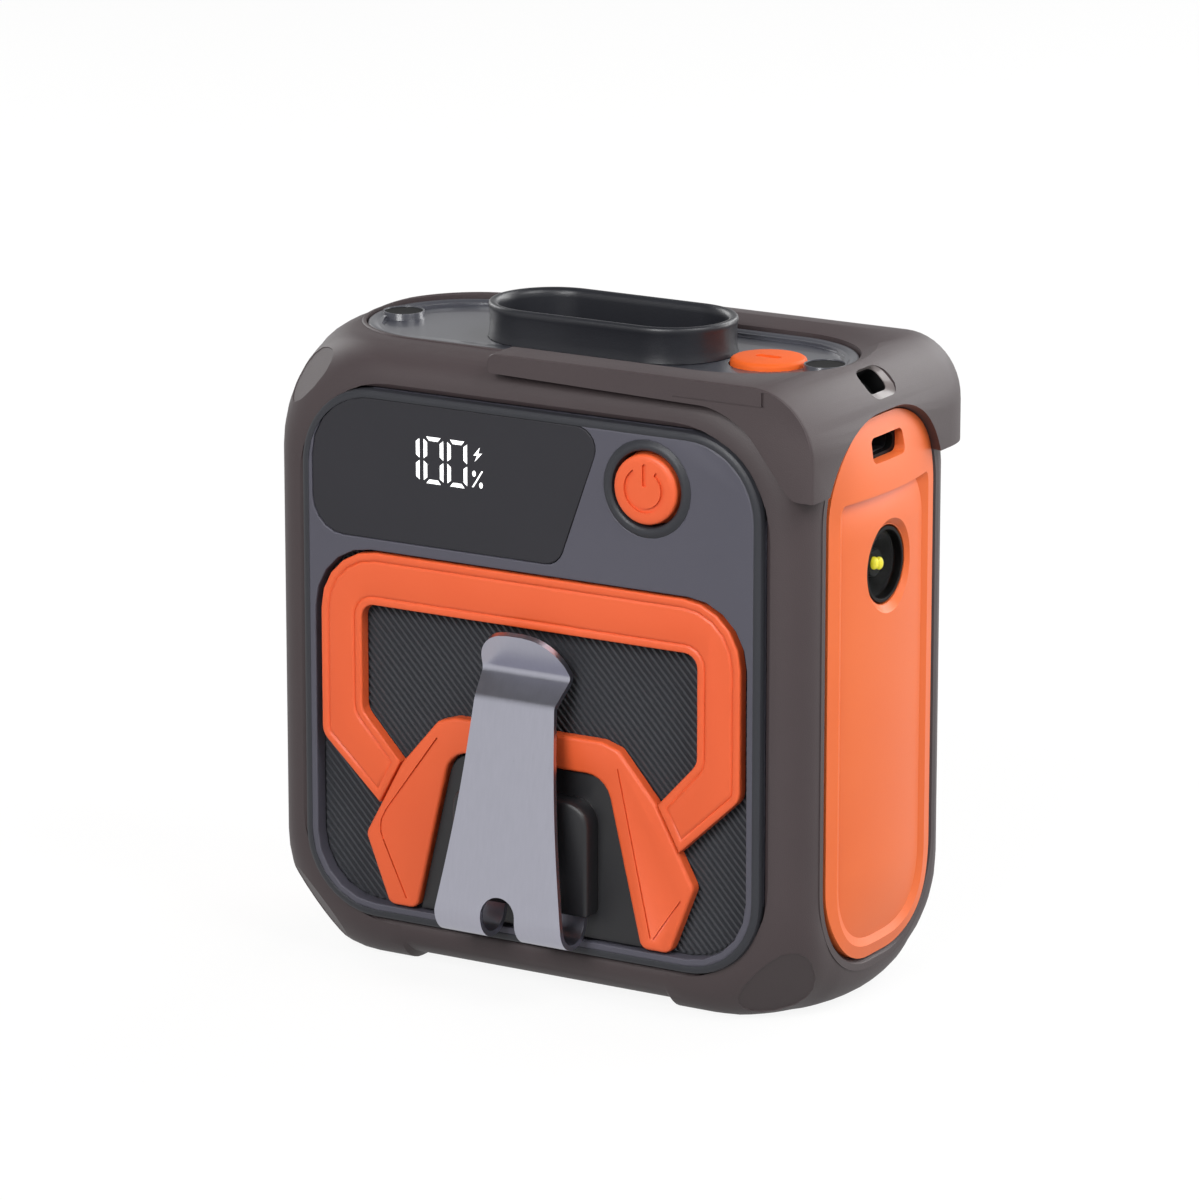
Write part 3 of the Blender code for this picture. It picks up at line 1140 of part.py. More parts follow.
def port_outline(grow=0.0):
    wide, tall = (size / 2 + grow for size in PORT_SIZE)
    return rectangle((MIDDLE - wide, SLOT_Z - tall), (MIDDLE + wide, SLOT_Z + tall), tall * PORT_ROUND)


def make_side_board():
    """Upright board inside the right panel's skirt, with the charging socket through it."""
    inset = SKIRT + CLEARANCE
    half, high = SIDE_HALF - inset, SIDE_HIGH - inset
    low = TORCH_Z - SIDE_BOARD_DROP
    top_r = SIDE_R - inset
    outline = rounded([
        (MIDDLE - half, low, SIDE_BOARD_R), (MIDDLE + half, low, SIDE_BOARD_R),
        (MIDDLE + half, high, top_r), (MIDDLE - half, high, top_r)])
    face = SIDE_INNER + SIDE_BOARD_THICK
    board = plate("side_board", "x", SIDE_INNER, face, outline, port_outline(CLEARANCE),
                  circle(TORCH_R, (MIDDLE + TORCH_OFFSET, TORCH_Z)))
    dress(board, BOARD)
    front = SIDE_BACK - CLEARANCE
    back = front - PORT_LENGTH
    port = plate("usb_port", "x", back, front, port_outline())
    cut(port, plate("port_mouth", "x", back + PORT_BACK, front + PORT_BACK, port_outline(-PORT_WALL)))
    dress(port, STEEL)


def make_torch():
    """Black cup in the side panel's hole, with a lens at its mouth and a light at its floor."""
    place = (MIDDLE + TORCH_OFFSET, TORCH_Z)
    back = TORCH_FACE - CUP_LENGTH
    lens_front = TORCH_FACE - LENS_SETBACK
    lens_back = lens_front - LENS_THICK
    bore = CUP_R - CUP_WALL
    cup = cylinder("torch_reflector", "x", back, TORCH_FACE, place, CUP_R)
    cut(cup, cylinder("cup_mouth", "x", lens_back - CLEARANCE, TORCH_FACE + CUP_LENGTH, place, bore))
    floor = back + CUP_FLOOR
    cut(cup, cylinder("cup_cone", "x", floor, lens_back, place, CUP_THROAT_R, bore - CUP_WALL))
    dress(cup, BLACK)
    dress(cylinder("torch_lens", "x", lens_back, lens_front, place, bore - CLEARANCE), LENS)
    half = LED_SIZE / 2
    led = box("torch_led", (floor + CLEARANCE, place[0] - half, TORCH_Z - half),
              (floor + CLEARANCE + LED_THICK, place[0] + half, TORCH_Z + half))
    dress(led, LAMP)


def scroll_path():
    """Inside of the blower's duct: down its right wall, round the spiral, and up its left wall."""
    duct = NOZZLE_HALF_LENGTH - NOZZLE_WALL
    right, left = NOZZLE_X + duct, NOZZLE_X - duct
    path = [Vector((right, DUCT_TOP)), Vector((right, DUCT_TOP - THROAT_DROP))]
    for piece in range(SCROLL_PIECES + 1):
        share = piece / SCROLL_PIECES
        angle = CUTOFF + (SCROLL_END - CUTOFF) * share
        radius = IMPELLER_R + SCROLL_START + SCROLL_GROWTH * share
        path.append(Vector((FAN_X + radius * cos(angle), FAN_Z + radius * sin(angle))))
    return path + [Vector((left, DUCT_TOP - THROAT_DROP)), Vector((left, DUCT_TOP))]


def make_scroll():
    """Volute with its flat wall, and the plate with the air inlet that closes it."""
    path = scroll_path()
    outer = let_out(path, SCROLL_WALL)
    scroll = plate("scroll_housing", "y", SCROLL_FRONT, SCROLL_RIM, outer)
    cut(scroll, plate("scroll_hollow", "y", SCROLL_FLOOR, SCROLL_RIM + SCROLL_WALL,
                      [path[0] + Vector((0, SCROLL_WALL))] + path + [path[-1] + Vector((0, SCROLL_WALL))]))
    dress(scroll, BLACK)
    cover = plate("scroll_cover", "y", COVER_FRONT, COVER_FRONT + SCROLL_WALL, outer,
                  circle(INLET_R, (FAN_X, FAN_Z), LARGE_SIDES))
    dress(cover, BLACK)


def blade_outline(index):
    """One swept blade, seen along the impeller's axis."""
    inner = IMPELLER_R - BLADE_LENGTH
    edge_low, edge_high = [], []
    for piece in range(BLADE_PIECES + 1):
        share = piece / BLADE_PIECES
        radius = inner + (BLADE_LENGTH - DISC_THICK / 4) * share
        angle = tau * index / BLADE_COUNT + BLADE_SWEEP * share ** BLADE_CURVE
        half = BLADE_THICK / 2 / radius
        edge_low.append(turned_about((radius, 0), angle - half) + Vector((FAN_X, FAN_Z)))
        edge_high.append(turned_about((radius, 0), angle + half) + Vector((FAN_X, FAN_Z)))
    return edge_low + edge_high[::-1]


def make_impeller():
    """Blower wheel on its hub, carried by the rotor cup and the shaft."""
    place = (FAN_X, FAN_Z)
    bore = SHAFT_R + CLEARANCE
    inside = ROTOR_R + CLEARANCE
    wheel = turned("impeller", place, [
        (bore, HUB_BACK), (HUB_R, HUB_BACK), (HUB_R, DISC_BACK), (IMPELLER_R, DISC_BACK),
        (IMPELLER_R, DISC_FRONT), (inside, DISC_FRONT), (inside, HUB_INNER), (bore, HUB_INNER)])
    overlap = DISC_THICK / 4
    blades = plate("blades", "y", DISC_BACK - overlap, BLADE_BACK + overlap,
                   *[blade_outline(index) for index in range(BLADE_COUNT)])
    fuse(wheel, blades)
    ring = plate("blade_ring", "y", BLADE_BACK, BLADE_BACK + DISC_THICK, circle(IMPELLER_R, place),
                 circle(IMPELLER_R - BLADE_LENGTH, place))
    fuse(wheel, ring)
    axle = (FAN_X, 0, FAN_Z)
    dress(pivot(wheel, axle), BLACK)
    cup = turned("rotor_cup", place, [
        (bore, ROTOR_BACK), (ROTOR_R, ROTOR_BACK), (ROTOR_R, STATOR_FRONT), (ROTOR_INNER_R, STATOR_FRONT),
        (ROTOR_INNER_R, ROTOR_INNER), (bore, ROTOR_INNER)])
    dress(pivot(cup, axle), STEEL)
    shaft = cylinder("motor_shaft", "y", BASE_FRONT + CLEARANCE, HUB_BACK, place, SHAFT_R, sides=SMALL_SIDES)
    dress(pivot(shaft, axle), STEEL)


def make_motor():
    """Fixed half of the motor: base with bearing tube, wound stator and two bearings."""
    place = (FAN_X, FAN_Z)
    base_back = BASE_FRONT + BASE_THICK
    holder = turned("motor_base", place, [
        (TUBE_INNER_R, TUBE_BACK), (TUBE_R, TUBE_BACK), (TUBE_R, base_back), (BASE_R, base_back),
        (BASE_R, BASE_FRONT), (TUBE_INNER_R, BASE_FRONT)])
    dress(holder, BLACK)
    stator = plate("motor_stator", "y", STATOR_FRONT, STATOR_BACK, circle(STATOR_R, place, LARGE_SIDES),
                   circle(TUBE_R + CLEARANCE, place))
    low, high = STATOR_FRONT - TOOTH_GAP, STATOR_BACK + TOOTH_GAP
    flat = rectangle(((STATOR_R + TUBE_R) / 2, -TOOTH_GAP / 2), (STATOR_R + TOOTH_GAP, TOOTH_GAP / 2))
    for tooth in range(TOOTH_COUNT):
        corners = [turned_about(point, tau * tooth / TOOTH_COUNT) + Vector(place) for point in flat]
        cut(stator, plate(f"stator_slot_{tooth}", "y", low, high, corners))
    dress(stator, COPPER)
    starts = {"bearing_front": base_back, "bearing_rear": STATOR_BACK - BEARING_LENGTH}
    for name, start in starts.items():
        bearing = plate(name, "y", start, start + BEARING_LENGTH, circle(BEARING_R, place),
                        circle(BEARING_BORE, place))
        dress(bearing, STEEL)


def make_battery():
    """Flat lithium pack between the grille and the blower."""
    wide, deep = BATTERY_SIZE
    low, high = OPEN_LOW + BATTERY_LOW, BOARD_LOW - BATTERY_TO_BOARD
    front = GRILLE_BACK + CLEARANCE
    pack = box("battery_pack", (-wide / 2, front, low), (wide / 2, front + deep, high))
    dress(soften(pack, BATTERY_EDGE), FOIL)


make_bumper()
make_front_housing()
make_rear_housing()
make_screws()
make_intake_grille()
board_face = make_window_and_display()
make_power_button(board_face)
make_main_board(board_face)
make_front_grille()
make_trims()
make_clip_mount(make_clip())
make_top_deck()
make_outlet()
make_light_button()
make_side_panels()
make_side_board()
make_torch()
make_scroll()
make_impeller()
make_motor()
make_battery()
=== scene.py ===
# %% [markdown]
# # A portable waist fan with a steel belt clip
# The fan hangs on a belt, blows air up out of the slot in its top and carries a torch in its side.
# The CAD model comes in first as a fixed frame, and every piece here is fitted to it.

# %% Load the frame
from math import asin, atan2, cos, pi, radians, sin, sqrt, tau

import bmesh
import bpy
from mathutils import Matrix, Vector


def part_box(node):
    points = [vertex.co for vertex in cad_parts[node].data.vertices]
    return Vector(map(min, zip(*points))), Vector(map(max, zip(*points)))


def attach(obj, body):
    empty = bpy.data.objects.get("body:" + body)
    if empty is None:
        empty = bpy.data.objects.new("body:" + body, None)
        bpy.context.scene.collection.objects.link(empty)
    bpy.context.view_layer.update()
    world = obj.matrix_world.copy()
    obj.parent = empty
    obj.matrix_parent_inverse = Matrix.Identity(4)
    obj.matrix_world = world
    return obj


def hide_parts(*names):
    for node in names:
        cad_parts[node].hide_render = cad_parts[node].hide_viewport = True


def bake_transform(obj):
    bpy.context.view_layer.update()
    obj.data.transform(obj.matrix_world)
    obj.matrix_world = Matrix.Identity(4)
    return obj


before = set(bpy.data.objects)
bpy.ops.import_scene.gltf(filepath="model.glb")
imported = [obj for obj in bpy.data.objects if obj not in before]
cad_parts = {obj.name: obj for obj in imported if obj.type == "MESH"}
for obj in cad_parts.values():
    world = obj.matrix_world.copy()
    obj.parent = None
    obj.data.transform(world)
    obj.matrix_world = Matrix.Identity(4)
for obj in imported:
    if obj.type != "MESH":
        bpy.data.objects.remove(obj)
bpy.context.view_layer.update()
bpy.context.scene.view_settings.view_transform = "Standard"
print("frame:", len(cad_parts), "nodes")

# %% [markdown]
# ## Where things are
# Shapes are drawn in millimetres from the middle of the body: x to the right, y into the depth from the
# plane of the bumper's front opening, z up from the feet. One matrix seats a finished shape in the frame.

# %% Seat the drawing in the frame
MM = 0.001
PANEL_PROUD = 1.1
FRONT = -PANEL_PROUD
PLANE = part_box("front_housing")[0].y + PANEL_PROUD * MM
SEAT = Matrix.Translation((0, PLANE, 0)) @ Matrix.Scale(MM, 4)
HALF, DEPTH, HEIGHT = 50.0, 50.6, 104.0
MIDDLE = DEPTH / 2
OPEN_HALF, OPEN_LOW, OPEN_HIGH, OPENING_R = 43.2, 7.7, 97.4, 13.8
print("front opening lies at y =", round(PLANE, 5))

# %% [markdown]
# ## Camera
# The photograph was taken with a long lens from the right and a little above, so upright lines stay
# nearly parallel. Place, direction and lens come from fitting the corners of the case.

# %% Camera
SENSOR, LENS = 36.0, 193.775
CAMERA_PLACE, CAMERA_AIM = Vector((519.6, -855.1, 328.6)), Vector((-0.4930, 0.8321, -0.2541))
eye = bpy.data.cameras.new("camera")
eye.sensor_width = SENSOR
eye.lens = LENS
camera = bpy.data.objects.new("camera", eye)
camera.location = SEAT @ CAMERA_PLACE
camera.rotation_euler = CAMERA_AIM.to_track_quat("-Z", "Y").to_euler()
bpy.context.scene.collection.objects.link(camera)
bpy.context.scene.camera = camera
print("camera at", [round(c, 3) for c in camera.location])

# %% [markdown]
# ## Floor, sky and lamps
# The studio is white. The floor shows itself to the camera, and in the steel, as nearly white paper that
# still holds the object's soft shadow. Five soft lamps light the object: one from the right, two from
# behind that draw the upper edges, a broad fill from the front and a weaker one from the left.

# %% Shader kit


class Wire:
    """A value in a material: sums that are written with it become Math nodes."""

    def __init__(self, paint, socket):
        self.paint = paint
        self.socket = socket

    def sum(self, operation, first, second):
        return self.paint.node("ShaderNodeMath", {"operation": operation}, {0: first, 1: second})

    def __add__(self, other):
        return self.sum("ADD", self, other)

    def __sub__(self, other):
        return self.sum("SUBTRACT", self, other)

    def __rsub__(self, other):
        return self.sum("SUBTRACT", other, self)

    def __mul__(self, other):
        return self.sum("MULTIPLY", self, other)

    def __pow__(self, other):
        return self.sum("POWER", self, other)

    __radd__ = __add__
    __rmul__ = __mul__


class Paint:
    """A material, or the world, that is being mixed."""

    def __init__(self, block):
        block.use_nodes = True
        self.block = block
        self.tree = block.node_tree
        self.out = next(node for node in self.tree.nodes if node.bl_idname.startswith("ShaderNodeOutput"))
        self.shader = self.out.inputs["Surface"].links[0].from_node
        self.place = self.node("ShaderNodeTexCoord", {}, {}, "Object")

    def node(self, kind, settings, sockets, output=0):
        """Add a node, set it up, feed its sockets and return one of its outputs."""
        made = self.tree.nodes.new(kind)
        for name, value in settings.items():
            setattr(made, name, value)
        for name, value in sockets.items():
            self.feed(made.inputs[name], value)
        return Wire(self, made.outputs[output])

    def feed(self, socket, value):
        if isinstance(value, Wire):
            self.tree.links.new(value.socket, socket)
        else:
            socket.default_value = value

    def set(self, **values):
        """Feed the shader's sockets, with underscores for the spaces in their names."""
        for name, value in values.items():
            self.feed(self.shader.inputs[name.replace("_", " ")], value)
        return self

    def noise(self, scale, detail=2.0, vector=None):
        return self.node("ShaderNodeTexNoise", {}, {"Vector": vector or self.place, "Scale": scale,
                                                    "Detail": detail})

    def mix(self, share, first, second):
        return self.node("ShaderNodeMix", {"data_type": "RGBA"}, {0: share, 6: first, 7: second}, 2)

    def bump(self, height, strength, distance):
        return self.node("ShaderNodeBump", {}, {"Height": height, "Strength": strength, "Distance": distance})


def ink(code):
    """A display colour such as 5a5963 as linear light."""
    channels = [int(code[place:place + 2], 16) / 255 for place in (0, 2, 4)]
    linear = [c / 12.92 if c <= 0.04045 else ((c + 0.055) / 1.055) ** 2.4 for c in channels]
    return (*linear, 1.0)


print("shader kit ready:", [round(c, 3) for c in ink("808080")[:3]])

# %% Floor and sky
PAPER_SHARE, SHINE_SHARE = 0.90, 0.7    # how far the floor shows as white, and to glossy rays
paper = Paint(bpy.data.materials.new("studio_paper"))
paper.set(Base_Color=ink("f4f4f2"), Roughness=0.9)
seen, shine, through = (paper.node("ShaderNodeLightPath", {}, {}, f"Is {kind} Ray")
                        for kind in ("Camera", "Glossy", "Transmission"))
white = paper.node("ShaderNodeEmission", {}, {"Color": (1, 1, 1, 1), "Strength": 1.0})
dim = paper.node("ShaderNodeBsdfDiffuse", {}, {"Color": ink("8a8a8a")})
plain = Wire(paper, paper.shader.outputs[0])
lit = paper.node("ShaderNodeMixShader", {}, {0: PAPER_SHARE, 1: plain, 2: white})
paper.feed(paper.out.inputs["Surface"], paper.node("ShaderNodeMixShader", {}, {
    0: seen + shine * SHINE_SHARE + through, 1: dim, 2: lit}))

FLOOR_REACH = 3.0
sheet = bmesh.new()
bmesh.ops.create_grid(sheet, x_segments=1, y_segments=1, size=FLOOR_REACH)
floor_mesh = bpy.data.meshes.new("floor")
sheet.to_mesh(floor_mesh)
sheet.free()
floor = bpy.data.objects.new("floor", floor_mesh)
floor.data.materials.append(paper.block)
bpy.context.scene.collection.objects.link(floor)

SKY_LOW, SKY_HIGH = 0.85, 0.10          # the studio's walls, and its dark ceiling
studio = Paint(bpy.data.worlds.new("studio"))
bpy.context.scene.world = studio.block
way = studio.node("ShaderNodeTexCoord", {}, {}, "Generated")
height = studio.node("ShaderNodeSeparateXYZ", {}, {0: way}, "Z")
above = studio.node("ShaderNodeMath", {"operation": "MAXIMUM"}, {0: height, 1: 0.0})
walls = (1 - above) ** 2 * (SKY_LOW - SKY_HIGH) + SKY_HIGH
direct = studio.node("ShaderNodeLightPath", {}, {}, "Is Camera Ray")
studio.set(Color=(1, 1, 1, 1), Strength=direct + (1 - direct) * walls)
print("floor and sky ready")

# %% Lamps
LAMP_AIM = Vector((0, 0, 0.05))
LAMPS = {                               # place, (width, height) and power
    "right_softbox": ((0.50, -0.10, 0.55), (0.4, 0.4), 3.1),
    "back_right_softbox": ((0.75, 0.95, 0.26), (0.5, 0.5), 4.5),
    "back_softbox": ((0.25, 0.95, 0.60), (0.8, 0.6), 7.5),
    "front_fill": ((0.05, -0.95, 0.65), (0.5, 0.5), 9.2),
    "left_fill": ((-0.90, 0.35, 0.50), (0.5, 0.5), 3.5),
}
for name, (place, (wide, tall), power) in LAMPS.items():
    lamp = bpy.data.lights.new(name, "AREA")
    lamp.shape = "RECTANGLE"
    lamp.size, lamp.size_y = wide, tall
    lamp.energy = power
    stand = bpy.data.objects.new(name, lamp)
    stand.location = place
    stand.rotation_euler = (LAMP_AIM - stand.location).to_track_quat("-Z", "Y").to_euler()
    bpy.context.scene.collection.objects.link(stand)
print("lamps:", ", ".join(LAMPS))

# %% [markdown]
# ## Finishes
# Moulded rubber and plastic are never one flat colour. Each finish here has a broad drift of tone, a fine
# spark-eroded grain in its bump, and a roughness that wanders a little with both.

# %% Moulded finishes
DRIFT_SCALE, GRAIN_STRENGTH = 45.0, 0.5


def moulded(name, dark, light, roughness, grain, depth, wander=0.08, shine=0.5, **more):
    """Rubber or plastic with a fine grain: grain in bumps per metre, depth in metres."""
    paint = Paint(bpy.data.materials.new(name))
    fine = paint.noise(grain)
    broad = paint.noise(DRIFT_SCALE, 4.0)
    tone = paint.mix(broad, ink(dark), ink(light))
    paint.set(Base_Color=tone, Roughness=roughness + (broad - 0.5) * wander + (fine - 0.5) * wander,
              Normal=paint.bump(fine, GRAIN_STRENGTH, depth), **more)
    paint.shader.inputs["Specular IOR Level"].default_value = shine
    return paint


rubber = moulded("taupe_rubber", "3b3133", "43393a", 0.52, 5200.0, 0.00006, shine=0.46)
slate = moulded("slate_plastic", "4c4b55", "54535d", 0.50, 6500.0, 0.00004, shine=0.35)
shade = moulded("slate_edge", "2b2c31", "323338", 0.42, 6500.0, 0.00004, shine=0.35)
deck_gloss = moulded("deck_plastic", "3c3d44", "45464d", 0.30, 6500.0, 0.00002, 0.05, Coat_Weight=0.3)
orange = moulded("orange_plastic", "e0592c", "e76335", 0.44, 6000.0, 0.00003)
# A lighter copy of the orange plastic for the side panels: painted light, for the brighter light on the sides.
lit_side_orange = moulded("lit_side_orange", "e46934", "ea733c", 0.40, 6000.0, 0.00003, shine=0.3)
# A darker, less blue copy of the orange plastic for the light button: painted shade, offsetting the stronger
# light and sheen on the top.
shaded_light_key_orange = moulded("shaded_light_key_orange", "da5a22", "e1642a", 0.50, 6000.0, 0.00003, shine=0.12)
black = moulded("black_plastic", "17171a", "1e1e21", 0.38, 6000.0, 0.00004)
outlet_black = moulded("outlet_plastic", "1c1d22", "25262b", 0.36, 6000.0, 0.00004, shine=0.45)
# Near-black plastic for the port shroud and the torch's cup; in the lanyard hole and the eyelets it is painted
# shade for the depth of the hole.
black_and_hole_shade = moulded("black_and_painted_hole_shade", "060607", "0a0a0b", 0.60, 6000.0, 0.00004, shine=0.15)
soft_black = moulded("grille_plastic", "303136", "393a3f", 0.55, 5000.0, 0.00004)
smoked = moulded("smoked_window", "2a2a2e", "2f2e33", 0.50, 7000.0, 0.00001, 0.03, shine=0.25)
# The lanyard rim is glossier than the rubber, and its lighter tone is a painted highlight on its chamfer.
rim_highlight = moulded("lanyard_rim_highlight", "6d6665", "797271", 0.34, 5200.0, 0.00002, 0.05, Coat_Weight=0.2)
print("moulded finishes ready")

# %% [markdown]
# Sprung steel is rolled, so its fine scratches run along the strip. Noise that is stretched along one axis
# gives them. The other finishes belong to small or inner pieces: lamp, lens, boards, copper and wrap.

# %% Metal, light and inner finishes
SCRATCH_WANDER, SCRATCH_STRENGTH, SCRATCH_DEPTH = 0.10, 0.12, 0.00001


def metal(name, dark, light, roughness, stretch):
    """Metal with scratches drawn out by a stretch of its pattern."""
    paint = Paint(bpy.data.materials.new(name))
    lines = paint.node("ShaderNodeMapping", {}, {"Vector": paint.place, "Scale": stretch})
    scratch = paint.noise(1.0, 5.0, lines)
    paint.set(Base_Color=paint.mix(scratch, ink(dark), ink(light)), Metallic=1.0,
              Roughness=roughness + (scratch - 0.5) * SCRATCH_WANDER,
              Normal=paint.bump(scratch, SCRATCH_STRENGTH, SCRATCH_DEPTH))
    return paint


steel = metal("satin_steel", "b0b0bc", "b8b8c4", 0.30, (2600.0, 900.0, 300.0))
bright = metal("turned_steel", "8d8d93", "b4b4ba", 0.28, (900.0, 4000.0, 900.0))
copper = metal("copper_winding", "9a5a34", "c07a48", 0.38, (700.0, 5200.0, 700.0))
board = moulded("green_board", "123a24", "1d5535", 0.45, 900.0, 0.00005)
wrap = moulded("battery_wrap", "7c8087", "90949b", 0.35, 1500.0, 0.00003)

lens = Paint(bpy.data.materials.new("clear_lens"))
haze = lens.noise(400.0, 3.0)
lens.set(Base_Color=ink("f4f7f8"), Roughness=haze * 0.05 + 0.01)
lens.shader.inputs["Transmission Weight"].default_value = 1.0
lens.shader.inputs["IOR"].default_value = 1.04

digit_light = Paint(bpy.data.materials.new("display_light"))
flicker = digit_light.noise(1500.0)
digit_light.set(Base_Color=ink("ffffff"), Roughness=0.5,
                Emission_Color=digit_light.mix(flicker, ink("f1f3f4"), ink("ffffff")))
digit_light.shader.inputs["Emission Strength"].default_value = 0.9

phosphor_painted_glow = Paint(bpy.data.materials.new("phosphor_painted_glow"))
phosphor = phosphor_painted_glow.noise(2500.0)
# The phosphor also glows a little although the torch is off: a painted glow.
phosphor_painted_glow.set(Base_Color=phosphor_painted_glow.mix(phosphor, ink("c9b414"), ink("efe23c")), Roughness=0.35,
                Emission_Color=ink("e6d82a"))
phosphor_painted_glow.shader.inputs["Emission Strength"].default_value = 0.35
print("metal, light and inner finishes ready")

# %% [markdown]
# ## A small mesh kit
# Outlines are drawn as flat faces whose corners are rounded by bevelling their points. An outline becomes
# a prism by extruding it, or a hull when outlines at several depths are bridged. Two closed shapes can be
# carved from, or joined to, each other before the result becomes a piece.

# %% Mesh kit
ACROSS = {
    "x": Matrix(((0, 0, 1, 0), (1, 0, 0, 0), (0, 1, 0, 0), (0, 0, 0, 1))),
    "y": Matrix(((1, 0, 0, 0), (0, 0, -1, 0), (0, 1, 0, 0), (0, 0, 0, 1))),
    "z": Matrix.Identity(4),
}
ALONG = {"x": Vector((1, 0, 0)), "y": Vector((0, 1, 0)), "z": Vector((0, 0, 1))}


def points_of(made):
    """The points among what an operator made."""
    return [item for item in made["geom"] if isinstance(item, bmesh.types.BMVert)]


def outward(shape):
    """Turn a closed shape's faces outwards."""
    bmesh.ops.recalc_face_normals(shape, faces=shape.faces)
    if shape.calc_volume(signed=True) < 0:
        bmesh.ops.reverse_faces(shape, faces=shape.faces)
    return shape


def outline(shape, corners, axis, level, segments=8):
    """Draw (u, v, round) corners as one flat face across an axis, and return its points."""
    old = set(shape.verts)
    points = [shape.verts.new((u, v, 0)) for u, v, _ in corners]
    shape.faces.new(points)
    for point, (_, _, reach) in zip(points, corners):
        if reach:
            bmesh.ops.bevel(shape, geom=[point], offset=reach, offset_type="OFFSET", segments=segments,
                            profile=0.5, affect="VERTICES", material=-1)
    new = [point for point in shape.verts if point not in old]
    place = Matrix.Translation(ALONG[axis] * level) @ ACROSS[axis]
    bmesh.ops.transform(shape, matrix=place, verts=new)
    return new


def block(low, high, reach=0.0):
    """Corners of a rectangle, each with the same rounding."""
    (u0, v0), (u1, v1) = low, high
    return [(u0, v0, reach), (u1, v0, reach), (u1, v1, reach), (u0, v1, reach)]


def flipped(corners):
    """The same corners on the other side of the middle, in the order that goes on round the outline."""
    return [(-u, v, reach) for u, v, reach in reversed(corners)]


def prism(corners, axis, low, high, segments=8, flare=(1.0, 1.0)):
    """An outline extruded from one level to another, its far end scaled about the outline's middle."""
    shape = bmesh.new()
    outline(shape, corners, axis, low, segments)
    moved = points_of(bmesh.ops.extrude_face_region(shape, geom=shape.faces[:]))
    bmesh.ops.translate(shape, vec=ALONG[axis] * (high - low), verts=moved)
    if flare != (1.0, 1.0):
        us = [corner[0] for corner in corners]
        vs = [corner[1] for corner in corners]
        middle = ACROSS[axis] @ Vector(((min(us) + max(us)) / 2, (min(vs) + max(vs)) / 2, 0))
        grow = ACROSS[axis] @ Matrix.Diagonal((*flare, 1, 1)) @ ACROSS[axis].inverted()
        bmesh.ops.transform(shape, matrix=grow, space=Matrix.Translation(-middle), verts=moved)
    return outward(shape)


def hull(levels, axis, segments=8, closed=True):
    """Outlines at levels along an axis, bridged one to the next, and the last to the first if closed."""
    shape = bmesh.new()
    rings = [outline(shape, corners, axis, level, segments) for level, corners in levels]
    edges = [list({edge for point in ring for edge in point.link_edges}) for ring in rings]
    caps = list(shape.faces)
    joins = list(zip(edges, edges[1:] + edges[:1] if closed else edges[1:]))
    bmesh.ops.delete(shape, geom=caps if closed else caps[1:-1], context="FACES_ONLY")
    for near, far in joins:
        bmesh.ops.bridge_loops(shape, edges=near + far)
    return outward(shape)


def spun(profile, centre, axis, steps=64):
    """An open (radius, level) profile, from the axis or back to its start, turned about a line."""
    shape = bmesh.new()
    points = [shape.verts.new((radius, 0, level)) for radius, level in profile]
    edges = [shape.edges.new(pair) for pair in zip(points, points[1:])]
    bmesh.ops.spin(shape, geom=points + edges, cent=(0, 0, 0), axis=(0, 0, 1), angle=tau, steps=steps,
                   use_merge=True, use_duplicate=False)
    bmesh.ops.remove_doubles(shape, verts=shape.verts, dist=1e-5)
    upright = Matrix.Rotation(pi, 4, "X") if axis == "y" else Matrix.Identity(4)
    place = Matrix.Translation(ACROSS[axis] @ Vector((*centre, 0))) @ ACROSS[axis] @ upright
    bmesh.ops.transform(shape, matrix=place, verts=shape.verts)
    return outward(shape)


def carve(shape, tool, operation="DIFFERENCE"):
    """Cut one closed shape out of another, join them, or keep what they share."""
    halves = []
    for part in (shape, tool):
        mesh = bpy.data.meshes.new("carving")
        part.to_mesh(mesh)
        part.free()
        half = bpy.data.objects.new("carving", mesh)
        bpy.context.scene.collection.objects.link(half)
        halves.append(half)
    change = halves[0].modifiers.new("carve", "BOOLEAN")
    change.operation = operation
    change.object = halves[1]
    change.solver = "EXACT"
    bpy.context.view_layer.update()
    result = bmesh.new()
    result.from_object(halves[0], bpy.context.evaluated_depsgraph_get())
    for half in halves:
        mesh = half.data
        bpy.data.objects.remove(half)
        bpy.data.meshes.remove(mesh)
    return result


def merged(node):
    """A copy of a CAD node's mesh with its points merged and its flat faces made whole, in millimetres."""
    shape = bmesh.new()
    shape.from_mesh(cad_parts[node].data)
    bmesh.ops.transform(shape, matrix=SEAT.inverted(), verts=shape.verts)
    bmesh.ops.remove_doubles(shape, verts=shape.verts, dist=1e-4)
    bmesh.ops.dissolve_limit(shape, angle_limit=radians(0.3), verts=shape.verts, edges=shape.edges)
    return shape


def rounded(shape, width, segments=2, sharper=50, where=None):
    """Round the edges that are sharper than an angle and that a test of middle and direction picks."""
    chosen = []
    for edge in shape.edges:
        if len(edge.link_faces) == 2 and edge.calc_face_angle() > radians(sharper):
            first, last = (point.co for point in edge.verts)
            if where is None or where((first + last) / 2, (last - first).normalized()):
                chosen.append(edge)
    bmesh.ops.bevel(shape, geom=chosen, offset=width, offset_type="OFFSET", segments=segments, profile=0.5,
                    affect="EDGES", material=-1, clamp_overlap=True)
    return shape


def grown(shape, *factors):
    """Scale a shape about the middle of its own box."""
    spots = [point.co for point in shape.verts]
    middle = Vector([(min(spot[i] for spot in spots) + max(spot[i] for spot in spots)) / 2 for i in range(3)])
    bmesh.ops.scale(shape, vec=factors, space=Matrix.Translation(-middle), verts=shape.verts)
    return shape


